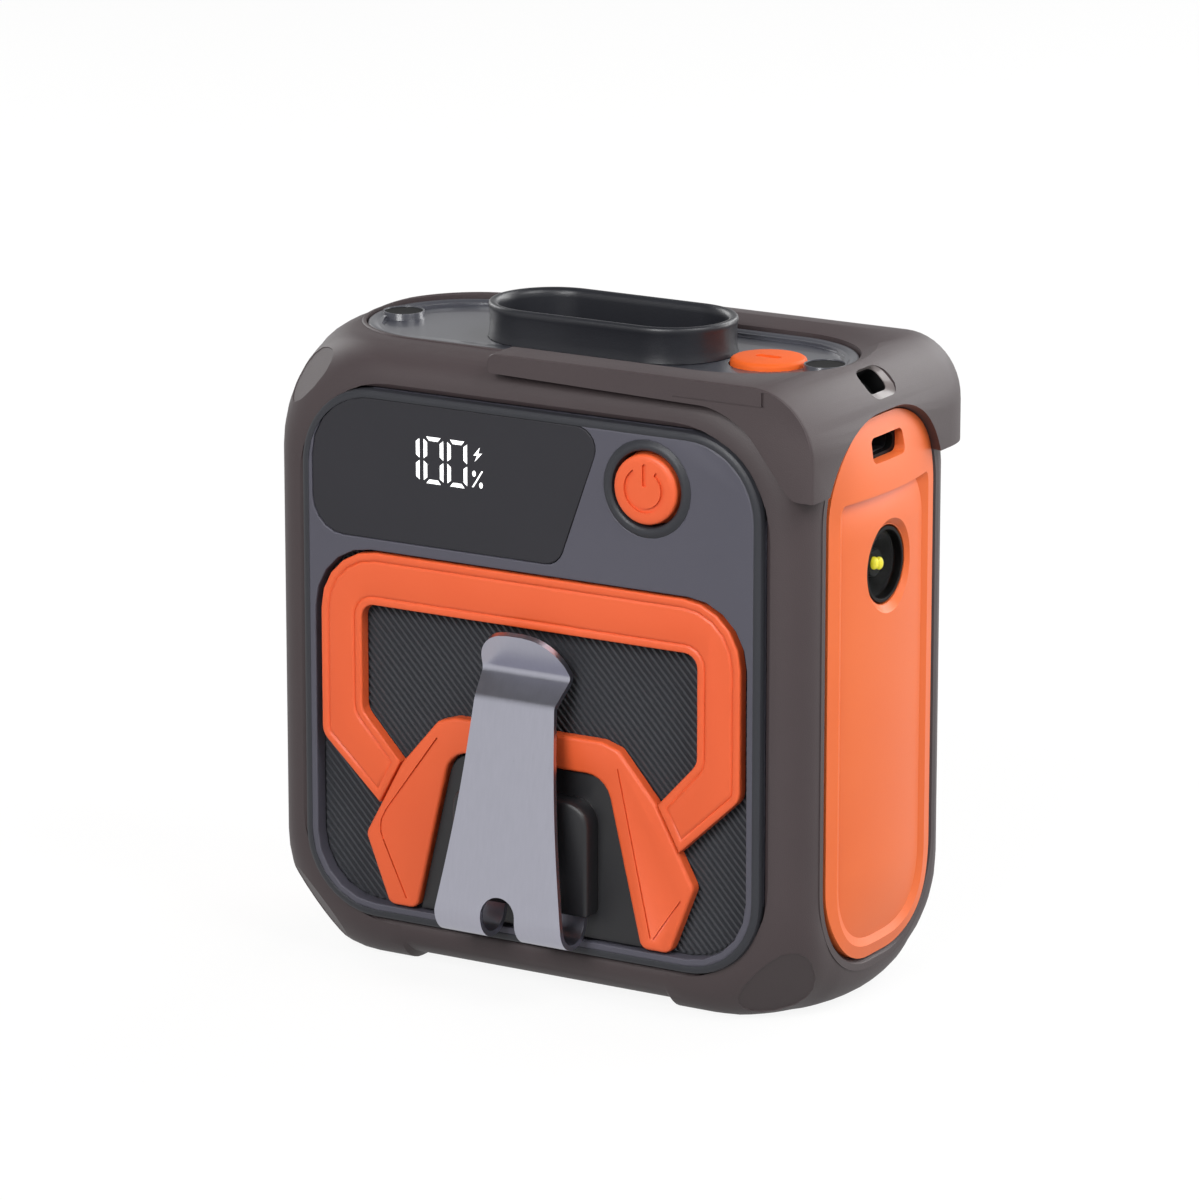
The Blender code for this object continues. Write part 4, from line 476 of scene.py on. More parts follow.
def piece(name, shape, paint, body="case", stands_for=(), smooth=32):
    """Seat a shape in the frame as a named piece that rides on a body."""
    bmesh.ops.transform(shape, matrix=SEAT, verts=shape.verts)
    mesh = bpy.data.meshes.new(name)
    shape.to_mesh(mesh)
    shape.free()
    mesh.shade_smooth()
    mesh.set_sharp_from_angle(angle=radians(smooth))
    mesh.materials.append(paint.block)
    made = bpy.data.objects.new(name, mesh)
    bpy.context.scene.collection.objects.link(made)
    if body:
        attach(made, body)
    if stands_for:
        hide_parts(*stands_for)
    print(name, len(mesh.polygons), "faces")
    return made


print("mesh kit ready")

# %% [markdown]
# ## Rubber bumper
# The bumper is a thick rubber ring: its edges are rounded towards the front and back openings, more deeply
# at the corners, and each corner has a small flat facet. It could be a rounded box with holes, but its
# section changes on the way round, so outlines at many depths are bridged instead.

# %% Bumper ring
SIDE_WALL, TOP_WALL, BOTTOM_WALL = 6.8, 6.6, 7.7
CORNER_R, LIP, LIP_R = 11.2, 0.7, 17.5
EDGE_DEPTH, CORNER_DEPTH, EDGE_RINGS = 7.0, 15.0, 14
BARREL, BARREL_RUN, BARREL_RINGS = 1.7, 14.0, 6      # how far the corners swell at half depth
FOOT_STEP, FOOT_FLAT, LEAST_STEP = 1.2, 0.4, 0.1
ROOT = sqrt(2)


def bumper_corners(y):
    """Corners of the bumper's outline at a depth: it swells from the lip to its full size."""
    across = min(y, DEPTH - y)
    swell = sqrt(1 - (1 - min(1, across / EDGE_DEPTH)) ** 2)
    corner_swell = sqrt(1 - (1 - min(1, across / CORNER_DEPTH)) ** 2)
    half = HALF - (SIDE_WALL - LIP) * (1 - swell)
    top = HEIGHT - (TOP_WALL - LIP) * (1 - swell)
    low = (BOTTOM_WALL - LIP) * (1 - swell)
    step = FOOT_STEP * (LEAST_STEP + (1 - LEAST_STEP) * swell)
    reach_lip = ROOT * (HALF - SIDE_WALL + LIP) - (ROOT - 1) * LIP_R
    reach_full = ROOT * HALF - (ROOT - 1) * CORNER_R
    reach = reach_lip + (reach_full - reach_lip) * corner_swell
    reach += BARREL * max(0.0, 1 - ((y - MIDDLE) / BARREL_RUN) ** 2)
    radius = (ROOT * half - reach) / (ROOT - 1)
    foot = OPEN_HALF - LIP_R - FOOT_FLAT
    right = [(foot - step, low + step, 0), (foot, low, 0), (half, low, radius), (half, top, radius)]
    return right + flipped(right)


def opening_corners(gap=0.0):
    return block((gap - OPEN_HALF, OPEN_LOW + gap), (OPEN_HALF - gap, OPEN_HIGH - gap), OPENING_R - gap)


LIP_SINK = 0.35
near_depths = [CORNER_DEPTH * (1 - cos(pi / 2 * step / EDGE_RINGS)) for step in range(EDGE_RINGS + 1)]
inner_depths = [CORNER_DEPTH + (DEPTH - 2 * CORNER_DEPTH) * step / BARREL_RINGS
                for step in range(1, BARREL_RINGS)]
depths = near_depths + inner_depths + [DEPTH - depth for depth in reversed(near_depths)]
ring = hull([(LIP_SINK, opening_corners())] + [(depth, bumper_corners(depth)) for depth in depths]
            + [(DEPTH - LIP_SINK, opening_corners())], "y", segments=10)
print("bumper ring:", len(ring.faces), "faces")

# %% [markdown]
# The facets are cut with a plane each. The cap over the top right corner, the rims round the side panels
# and the deck are joined on, and the ways for the panels, the deck and the lanyard hole are cut.

# %% Facets
FACET_TOP, FACET_LOW = 61.3, 60.7       # from the middle of the body to a facet, along its normal
FACET_BACK = 1.0                        # the facets at the back are cut less deep
FACET_LINE, FACET_SINK = 0.14, 0.12
FACET_WAY = (0.54, 0.66, 0.52)          # which way a facet faces, before its signs
body_middle = Vector((0, MIDDLE, HEIGHT / 2))
for side, end, reach in ((-1, 1, FACET_TOP), (-1, -1, FACET_LOW), (1, -1, FACET_LOW)):
    for face in (-1, 1):
        normal = Vector([sign * part for sign, part in zip((side, face, end), FACET_WAY)]).normalized()
        cut = bmesh.ops.bisect_plane(ring, geom=ring.verts[:] + ring.edges[:] + ring.faces[:], dist=1e-4,
                                     plane_co=body_middle + normal * (reach + FACET_BACK * (face > 0)),
                                     plane_no=normal, clear_outer=True)
        border = [item for item in cut["geom_cut"] if isinstance(item, bmesh.types.BMEdge)]
        facet = bmesh.ops.edgeloop_fill(ring, edges=border)["faces"]
        bmesh.ops.inset_region(ring, faces=facet, thickness=FACET_LINE, depth=-FACET_SINK,
                               use_even_offset=True)
outward(ring)
print("bumper with facets:", len(ring.faces), "faces")

# %% Cap
SIDE_HALF, SIDE_LOW, SIDE_HIGH, SIDE_R = 17.5, 8.0, 97.3, 14.8
DECK_LENGTH, DECK_WIDTH, DECK_TOP = 43.8, 17.2, 103.7
CAP_TOP, CAP_RIGHT, CAP_PROUD = 105.7, 52.2, 1.4
CAP_CORNER_R, CLEARANCE, SLIM = 11.0, 0.15, 0.01
CAP_LOW, CAP_LEFT = 88.2, -7.0
CAP_UNDERSIDE = [(CAP_LEFT, 102.5, 0.4), (37.8, 101.6, 6.0), (48.2, CAP_LOW, 1.5)]
TOP_SHARE, CORNER_SHARE = 0.4, 0.7      # how much of an inset the top and the corner's radius take
FRONT_EASE = [(0.0, 0.45), (0.15, 0.15), (0.45, 0.0)]   # (depth, inset) at the cap's front
CAP_BACK, CAP_BACK_IN, CAP_BACK_TURNS = 7.5, 3.4, 8
HEEL_R = 3.0                            # round of the cap's lower corner at the back
KEEP_FRONT, KEEP_TOP, KEEP_LEFT, KEEP_RIGHT = -5.0, 110.0, -20.0, 60.0      # clear of the cap
CAP_LINES = [((42.9, 102.7), (43.45, 105.0), 0.3), ((27.0, 102.55), (43.0, 102.75), 0.1)]


def cap_corners(inset):
    """Corners of the cap's section, its outer side moved in."""
    right, top = CAP_RIGHT - inset, CAP_TOP - TOP_SHARE * inset
    outer = [(right, CAP_LOW, 0), (right, top, CAP_CORNER_R - CORNER_SHARE * inset), (CAP_LEFT, top, 1.2)]
    return outer + CAP_UNDERSIDE


cap_back = DEPTH + CAP_PROUD
cap_levels = [(depth - CAP_PROUD, inset) for depth, inset in FRONT_EASE]
cap_turns = [radians(90) * turn / CAP_BACK_TURNS for turn in range(CAP_BACK_TURNS + 1)]
cap_levels += [(cap_back - CAP_BACK * (1 - sin(turn)), CAP_BACK_IN * (1 - cos(turn))) for turn in cap_turns]
cap = hull([(level, cap_corners(inset)) for level, inset in cap_levels], "y", 12, closed=False)
heel = [(KEEP_FRONT, CAP_LOW - SLIM, 0), (cap_back + SLIM, CAP_LOW - SLIM, HEEL_R),
        (cap_back + SLIM, KEEP_TOP, 0), (KEEP_FRONT, KEEP_TOP, 0)]
cap = carve(cap, prism(heel, "x", KEEP_LEFT, KEEP_RIGHT), "INTERSECT")
ring = carve(ring, cap, "UNION")
for low, high, deep in CAP_LINES:
    ring = carve(ring, prism(block(low, high), "y", -CAP_PROUD - 1, deep - CAP_PROUD))
print("bumper with cap:", len(ring.faces), "faces")

# %% Rims and ways
RIM, RIM_PROUD, CHAMFER, OVERCUT = 2.0, 0.05, 0.8, 0.1
RIM_LEVELS = [(OPEN_HIGH, 5.0, 2.0), (100.2, 3.2, 2.0), (102.5, 1.7, 1.5), (103.7, 0.9, 0.9),
              (104.2, 0.45, 0.45)]
RISE_FROM, BACK_RISE = DECK_TOP - 0.5, 1.1      # the deck's rim rises towards the back
MOUTH_FRONT, MOUTH_BACK, MOUTH_RISE = 6.5, 1.0, 1.6     # how far the cap's mouth departs from the panel
MOUTH_IN, MOUTH_OUT, MOUTH_BACK_R, MOUTH_FRONT_R = HALF - 0.05, HALF + 2.6, SIDE_R + 1.0, SIDE_R + 5.0
DISH_EDGE, DISH_RISE, DISH_RUN = 104.5, 2.0, 5.5        # the cap's top slopes down towards the deck
DECK_WAY_LOW, ABOVE_ALL = 90.0, 112.0                   # the deck's way, cut out past the top


def side_corners(grow=0.0):
    return block((MIDDLE - SIDE_HALF - grow, SIDE_LOW - grow), (MIDDLE + SIDE_HALF + grow, SIDE_HIGH + grow),
                 SIDE_R + grow)


def stadium(half_length, half_width, centre):
    """Corners of a slot shape with round ends."""
    u, v = centre
    return block((u - half_length, v - half_width), (u + half_length, v + half_width), half_width - SLIM)


for side in (-1, 1):
    side_rim = prism(side_corners(RIM), "x", side * OPEN_HALF, side * (HALF + RIM_PROUD), 16)
    ring = carve(ring, side_rim, "UNION")
deck_rim = hull([(level, stadium(DECK_LENGTH + long, DECK_WIDTH + wide, (0, MIDDLE)))
                 for level, long, wide in RIM_LEVELS], "z", 20, closed=False)
for point in deck_rim.verts:
    if point.co.z > RISE_FROM:
        point.co.z += BACK_RISE * max(0.0, point.co.y - MIDDLE) / DECK_WIDTH
ring = carve(ring, deck_rim, "UNION")
for side in (-1, 1):
    ring = carve(ring, prism(side_corners(CLEARANCE), "x", side * (OPEN_HALF - OPENING_R), side * HALF, 16))
    ring = carve(ring, hull([(side * (HALF - CHAMFER), side_corners(CLEARANCE)),
                             (side * (HALF + OVERCUT), side_corners(CLEARANCE + CHAMFER))],
                            "x", 16, closed=False))
mouth_front = MIDDLE - SIDE_HALF - CLEARANCE - MOUTH_FRONT
mouth_back, mouth_top = MIDDLE + SIDE_HALF + CLEARANCE - MOUTH_BACK, SIDE_HIGH + MOUTH_RISE
mouth = [(mouth_front, SIDE_LOW, SIDE_R), (mouth_back, SIDE_LOW, SIDE_R),
         (mouth_back, mouth_top, MOUTH_BACK_R), (mouth_front, mouth_top, MOUTH_FRONT_R)]
ring = carve(ring, hull([(MOUTH_IN, side_corners(CLEARANCE)), (MOUTH_OUT, mouth)], "x", 16, closed=False))
ring = carve(ring, prism(stadium(DECK_LENGTH, DECK_WIDTH, (0, MIDDLE)), "z", DECK_WAY_LOW, ABOVE_ALL, 20))
dish_levels = [(DISH_EDGE + DISH_RISE * share, DISH_RUN * share) for share in (0, 1)]
dish = hull([(level, stadium(DECK_LENGTH + run - SLIM, DECK_WIDTH + run - SLIM, (0, MIDDLE)))
             for level, run in dish_levels], "z", 20, closed=False)
ring = carve(ring, dish)
print("bumper with cap, rims and ways:", len(ring.faces), "faces")

# %% [markdown]
# A lanyard hole goes into the cap's round corner. Its rim is a chamfered ring, glossier than the rubber and
# lighter as a painted highlight on the chamfer. The hole below is lined with near-black, painted shade for
# its depth, so the rim and the lining are pieces of their own.

# %% Lanyard hole
HOLE_OUT, HOLE_IN, HOLE_OUT_R, HOLE_IN_R = (3.0, 4.3), (2.2, 3.4), 2.4, 1.7
HOLE_SHIFT, RIM_SLOPE, SOCKET_FLOOR = -0.7, 0.6, 0.6
RIM_TOP, RIM_LOW, SOCKET_LOW = CAP_CORNER_R - 0.45, CAP_CORNER_R - 1.2, CAP_CORNER_R - 4.5
hole_seat = Matrix.Translation((CAP_RIGHT - CAP_CORNER_R, MIDDLE, CAP_TOP - CAP_CORNER_R)) @ Matrix.Rotation(
    radians(45), 4, "Y")


def hole_corners(half, reach, shift=0.0):
    return block((shift - half[0], -half[1]), (shift + half[0], half[1]), reach)


def at_corner(shape):
    """Move a shape that was drawn about the z axis to the cap's round corner."""
    bmesh.ops.transform(shape, matrix=hole_seat, verts=shape.verts)
    return shape


wide_hole, small_hole = hole_corners(HOLE_OUT, HOLE_OUT_R), hole_corners(HOLE_IN, HOLE_IN_R, HOLE_SHIFT)
ring = carve(ring, at_corner(prism(wide_hole, "z", SOCKET_LOW, CAP_CORNER_R + 1, 5)))
piece("rubber_bumper", ring, rubber, stands_for=["bumper"], smooth=28)
rim = hull([(RIM_LOW, wide_hole), (RIM_TOP, wide_hole), (RIM_TOP - RIM_SLOPE, small_hole),
            (RIM_LOW, small_hole)], "z", 5)
piece("lanyard_rim_highlight", at_corner(rim), rim_highlight)
# A near-black lining in the lanyard hole: painted shade for the depth of the hole.
socket = carve(prism(wide_hole, "z", SOCKET_LOW, RIM_LOW, 5),
               prism(small_hole, "z", SOCKET_LOW + SOCKET_FLOOR, CAP_CORNER_R, 5))
piece("lanyard_hole_shade", at_corner(socket), black_and_hole_shade)

# %% [markdown]
# ## Case shells
# The front and rear shells have the right shape in the CAD model already. A merged copy of each gets small
# radii on its cut edges, so that they catch the light.

# %% Shells
SHELL_R = 0.25
for node in ("front_housing", "rear_housing"):
    shell = merged(node)
    front = node == "front_housing"
    rounded(shell, SHELL_R, 2, 50, lambda spot, run: spot.y < 0 if front else spot.y > DEPTH)
    piece(node.replace("housing", "shell"), shell, slate, stands_for=[node], smooth=20)

# %% [markdown]
# A darker slate edge runs round the front shell where it meets the bumper. It is a ring of outlines, each a
# little further in than the last, bridged into a rounded bead.

# %% Edge of the front shell
EDGE_LEVELS = [(0.9, 0.35), (-0.3, 0.35), (-0.8, 0.5), (-1.02, 0.8), (-1.12, 1.2), (-1.14, 1.55), (-1.06, 1.7),
               (-0.5, 1.75)]
edge_bead = hull([(level, opening_corners(gap)) for level, gap in EDGE_LEVELS], "y", 12)
piece("shell_edge", edge_bead, shade)

# %% [markdown]
# ## Display window
# A smoked plate lies almost flush in the front shell, and white segments seem to shine through it: a full
# charge, a percent sign and a charging bolt. They are thin plates just in front of the smoked one.

# %% Window
WINDOW_FACE, PANE_R = FRONT + 0.1, 0.2
PANE_GROWTH = (1.0095, 1.0, 1.022)
pane = rounded(merged("display_window"), PANE_R, 2, 50, lambda spot, run: spot.y < WINDOW_FACE + 0.05)
grown(pane, *PANE_GROWTH)
piece("smoked_pane", pane, smoked, stands_for=["display_window"], smooth=20)

# %% Digits
STROKE, TAPER, DIGIT_WIDE = 0.66, 0.5, 3.72
DIGIT_LOW, DIGIT_HIGH = 82.9, 90.6
DIGIT_MIDDLE = (DIGIT_LOW + DIGIT_HIGH) / 2
END_GAP, JOINT_GAP, FLAT_GAP, FLAT_IN = 0.45, 0.2, 0.5, 1.05
LIT_GAP, LIT_THICK = 0.01, 0.03
ONE_X, ZERO_XS = -20.8, (-19.35, -14.87)
BOLT = [(-8.75, 89.97), (-9.98, 88.5), (-9.25, 88.62), (-9.72, 87.5), (-8.32, 89.0), (-9.05, 88.9)]
SLASH = [(-8.45, 86.1), (-8.15, 86.1), (-9.95, 83.3), (-10.25, 83.3)]
DOTS, DOT_WIDE, DOT_TALL, DOT_SIDES = ((-9.85, 85.55), (-8.55, 83.75)), 0.34, 0.5, 10
digits = bmesh.new()


def segment(points):
    """One lit segment, a thin plate between its corners."""
    face = digits.faces.new([digits.verts.new((x, WINDOW_FACE - LIT_GAP, z)) for x, z in points])
    far = points_of(bmesh.ops.extrude_face_region(digits, geom=[face]))
    bmesh.ops.translate(digits, vec=(0, -LIT_THICK, 0), verts=far)


def uprights(x, inner):
    """An upper and a lower segment, each shorter on its inner side: 1 for the right, -1 for the left."""
    left, right = (0.0, TAPER) if inner > 0 else (TAPER, 0.0)
    for low, high in ((DIGIT_LOW + END_GAP, DIGIT_MIDDLE - JOINT_GAP),
                      (DIGIT_MIDDLE + JOINT_GAP, DIGIT_HIGH - END_GAP)):
        segment([(x, low + left), (x + STROKE, low + right), (x + STROKE, high - right), (x, high - left)])


uprights(ONE_X, -1)
for x in ZERO_XS:
    uprights(x, 1)
    uprights(x + DIGIT_WIDE - STROKE, -1)
    for z, inside in ((DIGIT_HIGH, -STROKE), (DIGIT_LOW, STROKE)):
        segment([(x + FLAT_GAP, z), (x + DIGIT_WIDE - FLAT_GAP, z), (x + DIGIT_WIDE - FLAT_IN, z + inside),
                 (x + FLAT_IN, z + inside)])
segment(BOLT)
segment(SLASH)
for x, z in DOTS:
    segment([(x + DOT_WIDE * cos(tau * turn / DOT_SIDES), z + DOT_TALL * sin(tau * turn / DOT_SIDES))
             for turn in range(DOT_SIDES)])
outward(digits)
piece("display_digits", digits, digit_light)

# %% [markdown]
# ## Power button
# A round orange button sits in a slate collar and carries the usual power sign as a groove. Both are
# spun from half a section, and the sign is carved with an open ring and a bar.

# %% Power button and collar
POWER = (22.2, 87.0)
POWER_R = 5.9
COLLAR_IN, COLLAR_OUT = POWER_R + 0.3, POWER_R + 1.7
SEAT_Y = FRONT + 2.7
LIP_OUT = COLLAR_OUT + 0.35
collar = spun([(COLLAR_IN, SEAT_Y + 0.6), (COLLAR_IN, FRONT + 0.2), (COLLAR_IN + 0.12, FRONT - 0.2),
               (COLLAR_IN + 0.4, FRONT - 0.42), (COLLAR_IN + 0.7, FRONT - 0.5), (COLLAR_IN + 1.0, FRONT - 0.45),
               (COLLAR_IN + 1.3, FRONT - 0.28), (LIP_OUT - 0.15, FRONT - 0.08), (LIP_OUT, FRONT + 0.02),
               (COLLAR_OUT, FRONT + 0.3), (COLLAR_OUT, SEAT_Y), (COLLAR_OUT + 0.6, SEAT_Y),
               (COLLAR_OUT + 0.6, SEAT_Y + 0.6), (COLLAR_IN, SEAT_Y + 0.6)], POWER, "y", 96)
piece("power_collar", collar, shade, stands_for=["power_bezel"])

FACE = FRONT - 0.9
key = spun([(0, FACE), (4.6, FACE + 0.02), (5.2, FACE + 0.08), (5.5, FACE + 0.22), (5.66, FACE + 0.45),
            (5.7, FACE + 0.8), (5.7, FRONT + 1.2), (POWER_R, FRONT + 1.4), (POWER_R, SEAT_Y + 0.9),
            (POWER_R + 1.0, SEAT_Y + 0.9), (POWER_R + 1.0, SEAT_Y + 1.5), (0, SEAT_Y + 1.5)], POWER, "y", 96)
SIGN_R, SIGN_WIDTH, SIGN_DEPTH = 3.35, 0.8, 0.45
OPEN_TURN = radians(34)
groove = bmesh.new()
SIGN_IN, SIGN_OUT = SIGN_R - SIGN_WIDTH / 2, SIGN_R + SIGN_WIDTH / 2
SIGN_FLOOR = FACE + SIGN_DEPTH
section = [(SIGN_IN, FACE - 1), (SIGN_OUT, FACE - 1), (SIGN_OUT, SIGN_FLOOR), (SIGN_IN, SIGN_FLOOR)]
start = groove.faces.new([groove.verts.new((radius * sin(OPEN_TURN), level, radius * cos(OPEN_TURN)))
                          for radius, level in section])
bmesh.ops.spin(groove, geom=[start], cent=(0, 0, 0), axis=(0, 1, 0), angle=tau - 2 * OPEN_TURN, steps=48,
               use_duplicate=False, use_merge=False)
bmesh.ops.holes_fill(groove, edges=groove.edges)
outward(groove)
bmesh.ops.translate(groove, vec=(POWER[0], 0, POWER[1]), verts=groove.verts)
key = carve(key, groove)
BAR_LOW, BAR_HIGH, BAR_R = 0.5, 4.2, 0.35
bar = block((POWER[0] - SIGN_WIDTH / 2, POWER[1] + BAR_LOW),
            (POWER[0] + SIGN_WIDTH / 2, POWER[1] + BAR_HIGH), BAR_R)
key = carve(key, prism(bar, "y", FACE - 1, SIGN_FLOOR, 4))
piece("power_key", key, orange, "power_button", ["power_button"])

# %% [markdown]
# ## Ribbed grille
# Fine ribs run down to the right across the field behind the trims. A flat grid is folded into ribs,
# turned, and kept only inside the grille's outline.

# %% Grille
GRILLE_FACE, GRILLE_BACK, BACKING_FACE, RIB_END = 1.1, 3.2, 1.7, 2.8
RIBS, RIB_PITCH, RIB_DEPTH, RIB_LENGTH = 112, 1.02, 0.55, 130.0
RIB_TURN, GRILLE_Z = radians(-43), 40.5
ribs = bmesh.new()
bmesh.ops.create_grid(ribs, x_segments=4 * RIBS, y_segments=1, size=0.5)
for point in ribs.verts:
    step = round((point.co.x + 0.5) * 4 * RIBS)
    point.co = Vector(((step - 2 * RIBS) * RIB_PITCH / 4,
                       GRILLE_FACE + (RIB_DEPTH if step % 4 in (2, 3) else 0), point.co.y * RIB_LENGTH))
for point in points_of(bmesh.ops.extrude_face_region(ribs, geom=ribs.faces[:])):
    point.co.y = RIB_END
outward(ribs)
bmesh.ops.rotate(ribs, cent=(0, 0, 0), matrix=Matrix.Rotation(RIB_TURN, 3, "Y"), verts=ribs.verts)
bmesh.ops.translate(ribs, vec=(0, 0, GRILLE_Z), verts=ribs.verts)
field = [(-40.1, 10.8, 11.2), (40.1, 10.8, 11.2), (40.1, 70.1, 10.5), (-40.1, 70.1, 10.5)]
backing = [(-40.7, 10.2, 11.8), (40.7, 10.2, 11.8), (40.7, 70.7, 11.1), (-40.7, 70.7, 11.1)]
ribs = carve(ribs, prism(field, "y", -2.0, 6.0, 12), "INTERSECT")
ribs = carve(prism(backing, "y", BACKING_FACE, GRILLE_BACK, 12), ribs, "UNION")
piece("ribbed_grille", ribs, soft_black, stands_for=["front_grille"])

# %% [markdown]
# ## Orange trims
# Frame and arch are flat mouldings with rounded edges. A fine line runs round the frame, and the legs of
# the arch carry a crease along their inner side.

# %% Trims
TRIM_FACE, TRIM_R, ARCH_R = FRONT - 0.2, 0.6, 1.3
LINE_IN, LINE_WIDE, LINE_DEEP = 1.2, 0.2, 0.28
CREASE_WIDE, CREASE_DEEP = 0.3, 0.3
CREASES = [[(17.0, 40.4), (23.1, 13.0)], [(23.6, 12.8), (28.7, 20.1)],
           [(-17.0, 40.6), (-26.9, 27.0), (-27.9, 25.0), (-28.0, 23.2), (-27.5, 21.8), (-23.1, 12.4)]]
trim = merged("front_trim_frame")
plate = max((face for face in trim.faces if face.normal.y < -0.9), key=lambda face: face.calc_area())
for width, depth in ((LINE_IN, 0.0), (LINE_WIDE, -LINE_DEEP), (LINE_WIDE, LINE_DEEP)):
    bmesh.ops.inset_region(trim, faces=[plate], thickness=width, depth=depth, use_even_offset=True,
                           use_boundary=True)
rounded(trim, TRIM_R, 4, 50, lambda spot, run: spot.y < TRIM_FACE + 0.05)
piece("orange_frame", trim, orange, stands_for=["front_trim_frame"])

arch = rounded(merged("front_trim_arch"), ARCH_R, 5, 24, lambda spot, run: abs(run.y) > 0.9)
rounded(arch, TRIM_R, 4, 50, lambda spot, run: spot.y < TRIM_FACE + 0.05)


def crease(start, end):
    """A thin cutter along a line on the trims' face."""
    along = (Vector(end) - Vector(start)).normalized()
    off = Vector((-along.y, along.x)) * CREASE_WIDE / 2
    points = [Vector(start) - off, Vector(end) - off, Vector(end) + off, Vector(start) + off]
    return prism([(*point, 0) for point in points], "y", TRIM_FACE - 1, TRIM_FACE + CREASE_DEEP)


for line in CREASES:
    for start, end in zip(line, line[1:]):
        arch = carve(arch, crease(start, end))
piece("orange_arch", arch, orange, stands_for=["front_trim_arch"])

# %% [markdown]
# ## Clip mount
# A black plate fills the arch, and its raised pocket holds the leg of the clip. The copy of the CAD solid
# only needs softer edges.

# %% Mount
MOUNT_R = 0.35
mount = rounded(merged("clip_mount"), MOUNT_R, 3, 40, lambda spot, run: spot.y < 0.5)
piece("clip_pocket", mount, black, stands_for=["clip_mount"])

# %% [markdown]
# ## Belt clip
# One strip of sprung steel: up in the pocket, round a bend, up in front of the case, and out again at its
# tip. The CAD model splits it in the bend, where its hinge is. Here it is one piece: a line of
# points is drawn out sideways, each row gets its width, and the sheet gets its thickness.

# %% Line of the clip
CLIP_THICK, BEND_R, BEND_Y, BEND_Z = 0.9, 4.25, -6.4, 14.9
LEG_TOP, LEG_RISES = 31.9, (8.0, 4.0, 2.0)
FOLD, HEEL, END = Vector((-5.05, 50.0)), Vector((-1.05, 53.9)), Vector((-5.0, 60.7))
FOLD_EASE, HEEL_EASE, EASE_STEPS = 0.7, 1.0, 8
BEND_STEPS, BLADE_STEPS, HOOK_STEPS, HOOK_CROWD = 24, 14, 16, 0.6
bend = Vector((BEND_Y, BEND_Z))
lean = asin(BEND_R / (FOLD - bend).length) + atan2(FOLD.x - bend.x, FOLD.y - bend.y)


def eased(before, corner, after, reach):
    """Points of a small curve in place of a sharp fold."""
    start = corner + (before - corner).normalized() * reach
    end = corner + (after - corner).normalized() * reach
    shares = [step / EASE_STEPS for step in range(EASE_STEPS + 1)]
    return [start * (1 - t) ** 2 + corner * 2 * t * (1 - t) + end * t ** 2 for t in shares]


path = [bend + Vector((BEND_R, rise)) for rise in (LEG_TOP - BEND_Z, *LEG_RISES)]
TONGUE_ROW = len(path) + BEND_STEPS // 2
turns = [(pi + lean) * turn / BEND_STEPS for turn in range(BEND_STEPS + 1)]
path += [bend + Vector((BEND_R * cos(turn), -BEND_R * sin(turn))) for turn in turns]
leave = path[-1]
fold = eased(leave, FOLD, HEEL, FOLD_EASE)
path += [leave.lerp(fold[0], step / BLADE_STEPS) for step in range(1, BLADE_STEPS)] + fold
hook = eased(FOLD, HEEL, END, HEEL_EASE)
path += hook + [hook[-1].lerp(END, (step / HOOK_STEPS) ** HOOK_CROWD) for step in range(1, HOOK_STEPS + 1)]
print("clip line:", len(path), "points")

# %% Strip of the clip
CLIP_HALF, NECK_HALF, HEEL_GROW, TIP_HALF = 11.85, 7.45, 0.75, 8.2
WAIST, TIP_R, LEAST_HALF, CROSS_CUTS = 0.12, 6.8, 0.35, 11


def half_width(row, point):
    """Half the strip's width at a row: wide at the bend, narrow at the neck, round at the tip."""
    z = point.y
    if row < TONGUE_ROW or z < BEND_Z:
        return CLIP_HALF
    if z < FOLD.y:
        share = (z - BEND_Z) / (FOLD.y - BEND_Z)
        return CLIP_HALF + (NECK_HALF - CLIP_HALF) * (share + WAIST * sin(pi * share))
    if z < HEEL.y:
        return NECK_HALF + HEEL_GROW * (z - FOLD.y) / (HEEL.y - FOLD.y)
    drop = max(0.0, z - (END.y - TIP_R))
    return TIP_HALF - TIP_R + TIP_R * sqrt(max(0.0, 1 - (drop / TIP_R) ** 2))


strip = bmesh.new()
spine = [strip.verts.new((-1, point.x, point.y)) for point in path]
rail = [strip.edges.new(pair) for pair in zip(spine, spine[1:])]
drawn = points_of(bmesh.ops.extrude_edge_only(strip, edges=rail))
bmesh.ops.translate(strip, vec=(2, 0, 0), verts=drawn)
cross = [edge for edge in strip.edges if abs(edge.verts[0].co.x - edge.verts[1].co.x) > 1]
bmesh.ops.subdivide_edges(strip, edges=cross, cuts=CROSS_CUTS, use_grid_fill=True)
halves = {(round(point.x, 4), round(point.y, 4)): half_width(row, point) for row, point in enumerate(path)}
for point in strip.verts:
    point.co.x *= max(LEAST_HALF, halves[(round(point.co.y, 4), round(point.co.z, 4))])
outward(strip)
bmesh.ops.solidify(strip, geom=strip.faces[:], thickness=CLIP_THICK)
outward(strip)
HOLE_R, HOLE_Z = 3.2, 15.3
HOLE_LOW, HOLE_TOP, HOLE_ROUND = 5.0, HOLE_Z + HOLE_R, HOLE_R - 0.02
HOLE_FRONT, LEG_HOLE_TOP, LEG_HOLE_BACK, OVERLAP = -14.0, LEG_TOP - 8.0, -0.5, 0.1
hole = [(HOLE_R, HOLE_LOW, 0), (HOLE_R, HOLE_TOP, HOLE_ROUND), (-HOLE_R, HOLE_TOP, HOLE_ROUND),
        (-HOLE_R, HOLE_LOW, 0)]
strip = carve(strip, prism(hole, "y", HOLE_FRONT, BEND_Y, 12))
leg_hole = block((-HOLE_R, HOLE_LOW), (HOLE_R, LEG_HOLE_TOP))
